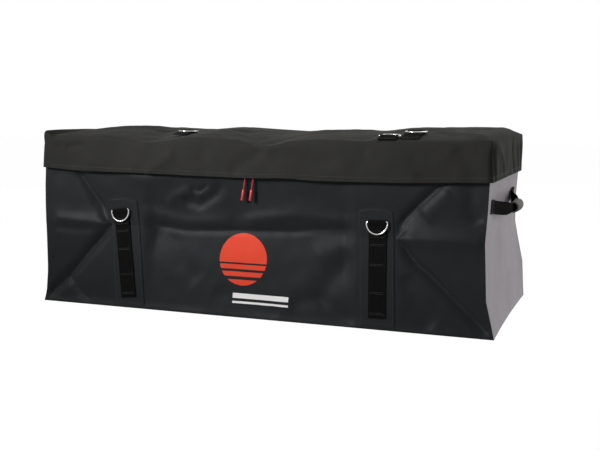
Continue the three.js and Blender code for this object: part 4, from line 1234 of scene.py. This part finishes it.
# Stops, sliders and pull tabs: cast and pressed metal, plated, with their edges broken. The
# sliders run on the teeth, and a stop is clamped over each rear end of the zip.
for side in ("left", "right"):
    rounded_copy(side + "_zip_end_stop", "zip_stop_" + side, steel, "bag", 0.5)
    rounded_copy(side + "_zip_slider", side + "_slider", steel, side + "_slider", 0)
    rounded_copy(side + "_pull_plate", side + "_pull_tab", steel, side + "_pull", 0.3)

# Pull cords: a braided red cord through each tab's eye, both strands held in a moulded red
# end. Each hangs from the tab, and leans to the bag's left.
red_braid, braid_tree, braid_shader = new_material("red_braid")
braid_place = shade(braid_tree, "ShaderNodeTexCoord")
strands = []
for angle in (0.9, -0.9):
    turned = shade(braid_tree, "ShaderNodeMapping")
    turned.inputs["Rotation"].default_value = (0, angle, 0)
    braid_tree.links.new(braid_place.outputs["Object"], turned.inputs["Vector"])
    strand = shade(braid_tree, "ShaderNodeTexWave", wave_type="BANDS", bands_direction="Z", Scale=210.0)
    braid_tree.links.new(turned.outputs["Vector"], strand.inputs["Vector"])
    strands.append(strand.outputs["Fac"])
plait = math_node(braid_tree, "MAXIMUM", *strands)
braid_red = mix_colour(braid_tree, plait, (0.20, 0.009, 0.013), (0.40, 0.021, 0.030))
braid_tree.links.new(braid_red, braid_shader.inputs["Base Color"])
braid_shader.inputs["Roughness"].default_value = 0.6
emboss(braid_tree, braid_shader, plait, 0.6, 0.0002)
red_moulded = mottled("red_moulded_plastic", (0.40, 0.020, 0.027), (0.54, 0.032, 0.040), 160.0, 4.0, 0.42)
PULL_X = 12
PULL_Y = -281.22
EYE_Z = 396.7
END_FOOT_Z = 326
PULL_LEAN = 11.5
STRAND_OFFSET = 2.3
CORD_DIAMETER = 0.0024


def smoothed(route):
    """Four points for each step of a route, along a curve through all its points."""
    points = [np.array(p, float) for p in route]
    last = len(points) - 1
    made = []
    for i in range(last):
        a, b, c, d = (points[max(0, min(last, i + k))] for k in (-1, 0, 1, 2))
        for t in (0, 0.25, 0.5, 0.75):
            bend = (2 * a - 5 * b + 4 * c - d) * t * t + (3 * b - a - 3 * c + d) * t ** 3
            made.append(0.5 * (2 * b + (c - a) * t + bend))
    return made + [points[last]]


for side, hand in (("left", -1), ("right", 1)):
    pull = side + "_pull"
    end = rounded_copy(pull + "_toggle", pull + "_end", red_moulded, pull, 0.4)
    eye_x = hand * PULL_X
    route = []
    for sense in (1, -1):
        leg = []
        for z in (356, 362, 370, 376, 382, 388, 393.5):
            leaning = PULL_LEAN * (EYE_Z - z) / (EYE_Z - END_FOOT_Z)
            leg.append((eye_x - leaning, PULL_Y + sense * STRAND_OFFSET, z))
        leg.append((eye_x, PULL_Y + sense * 1.84, 396.3))
        route += leg + [(eye_x, PULL_Y, 397.0)] if sense > 0 else leg[::-1]
    smooth_route = smoothed(route)
    cord_line = bpy.data.curves.new(side + "_pull_cord", "CURVE")
    cord_line.dimensions = "3D"
    cord_line.bevel_depth = CORD_DIAMETER / 2
    cord_line.bevel_resolution = 4
    cord_line.use_fill_caps = True
    spline = cord_line.splines.new("POLY")
    spline.points.add(len(smooth_route) - 1)
    for point, spot in zip(spline.points, smooth_route):
        point.co = (*(spot * MM), 1)
    cord_line.materials.append(red_braid)
    cord = add_object(side + "_braided_cord", cord_line)
    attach(cord, side + "_pull")
    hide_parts(side + "_pull_cord")
    length = float(sum(np.linalg.norm(b - a) for a, b in zip(smooth_route, smooth_route[1:]))) * MM

# Seams: rows of black thread along the rain flap's hem and round each patch. They lie on the
# cloth's outer face, and are the stitches that hold it.
HEM_ALLOWANCE = 12
PATCH_STITCH_SHARE = 0.45
low_u = HEM_ALLOWANCE / FLAP_LENGTH * FLAP_U
low_v = HEM_ALLOWANCE / FLAP_LENGTH * FLAP_V
down, level = np.linspace(0.995, low_v, 120), np.linspace(low_u, 1 - low_u, 280)
hem_u = np.concatenate([np.full(119, low_u), level, np.full(119, 1 - low_u)])
hem_v = np.concatenate([down[:-1], np.full(280, low_v), down[::-1][1:]])
x, y, z = lid_face(hem_u, hem_v)
hem_row = np.stack([x + np.sign(x) * 0.2 * (hem_v > low_v), y - 0.2 * (hem_v <= low_v), z], -1)
seam = tube("lid_hem_stitches", stitches([hem_row], 6.0, 2.0), 0.4, thread, sides=1)
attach(seam, "lid")
for face, out in (("front", -1), ("back", 1)):
    placed = []
    for hand in (-1, 1):
        rows = []
        for t in (-PATCH_STITCH_SHARE, PATCH_STITCH_SHARE):
            heights = np.linspace(14, 309, 60)
            rows.append([(float(patch_centre(hand, z)) + t * PATCH_WIDTH, z) for z in heights])
        arch = []
        for t in np.linspace(-PATCH_STITCH_SHARE, PATCH_STITCH_SHARE, 14):
            across = float(patch_centre(hand, 314)) + t * PATCH_WIDTH
            arch.append((across, 315 - PATCH_ARCH * (2 * t) ** 2))
        for row in rows + [arch]:
            x, z = np.array(row, float).T
            placed.append(np.stack([x, out * (wall_out(face, x, z)[0] + 2.15), z], -1))
    seam = tube(face + "_patch_stitches", stitches(placed), 0.3, thread, sides=1)
    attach(seam, "bag")
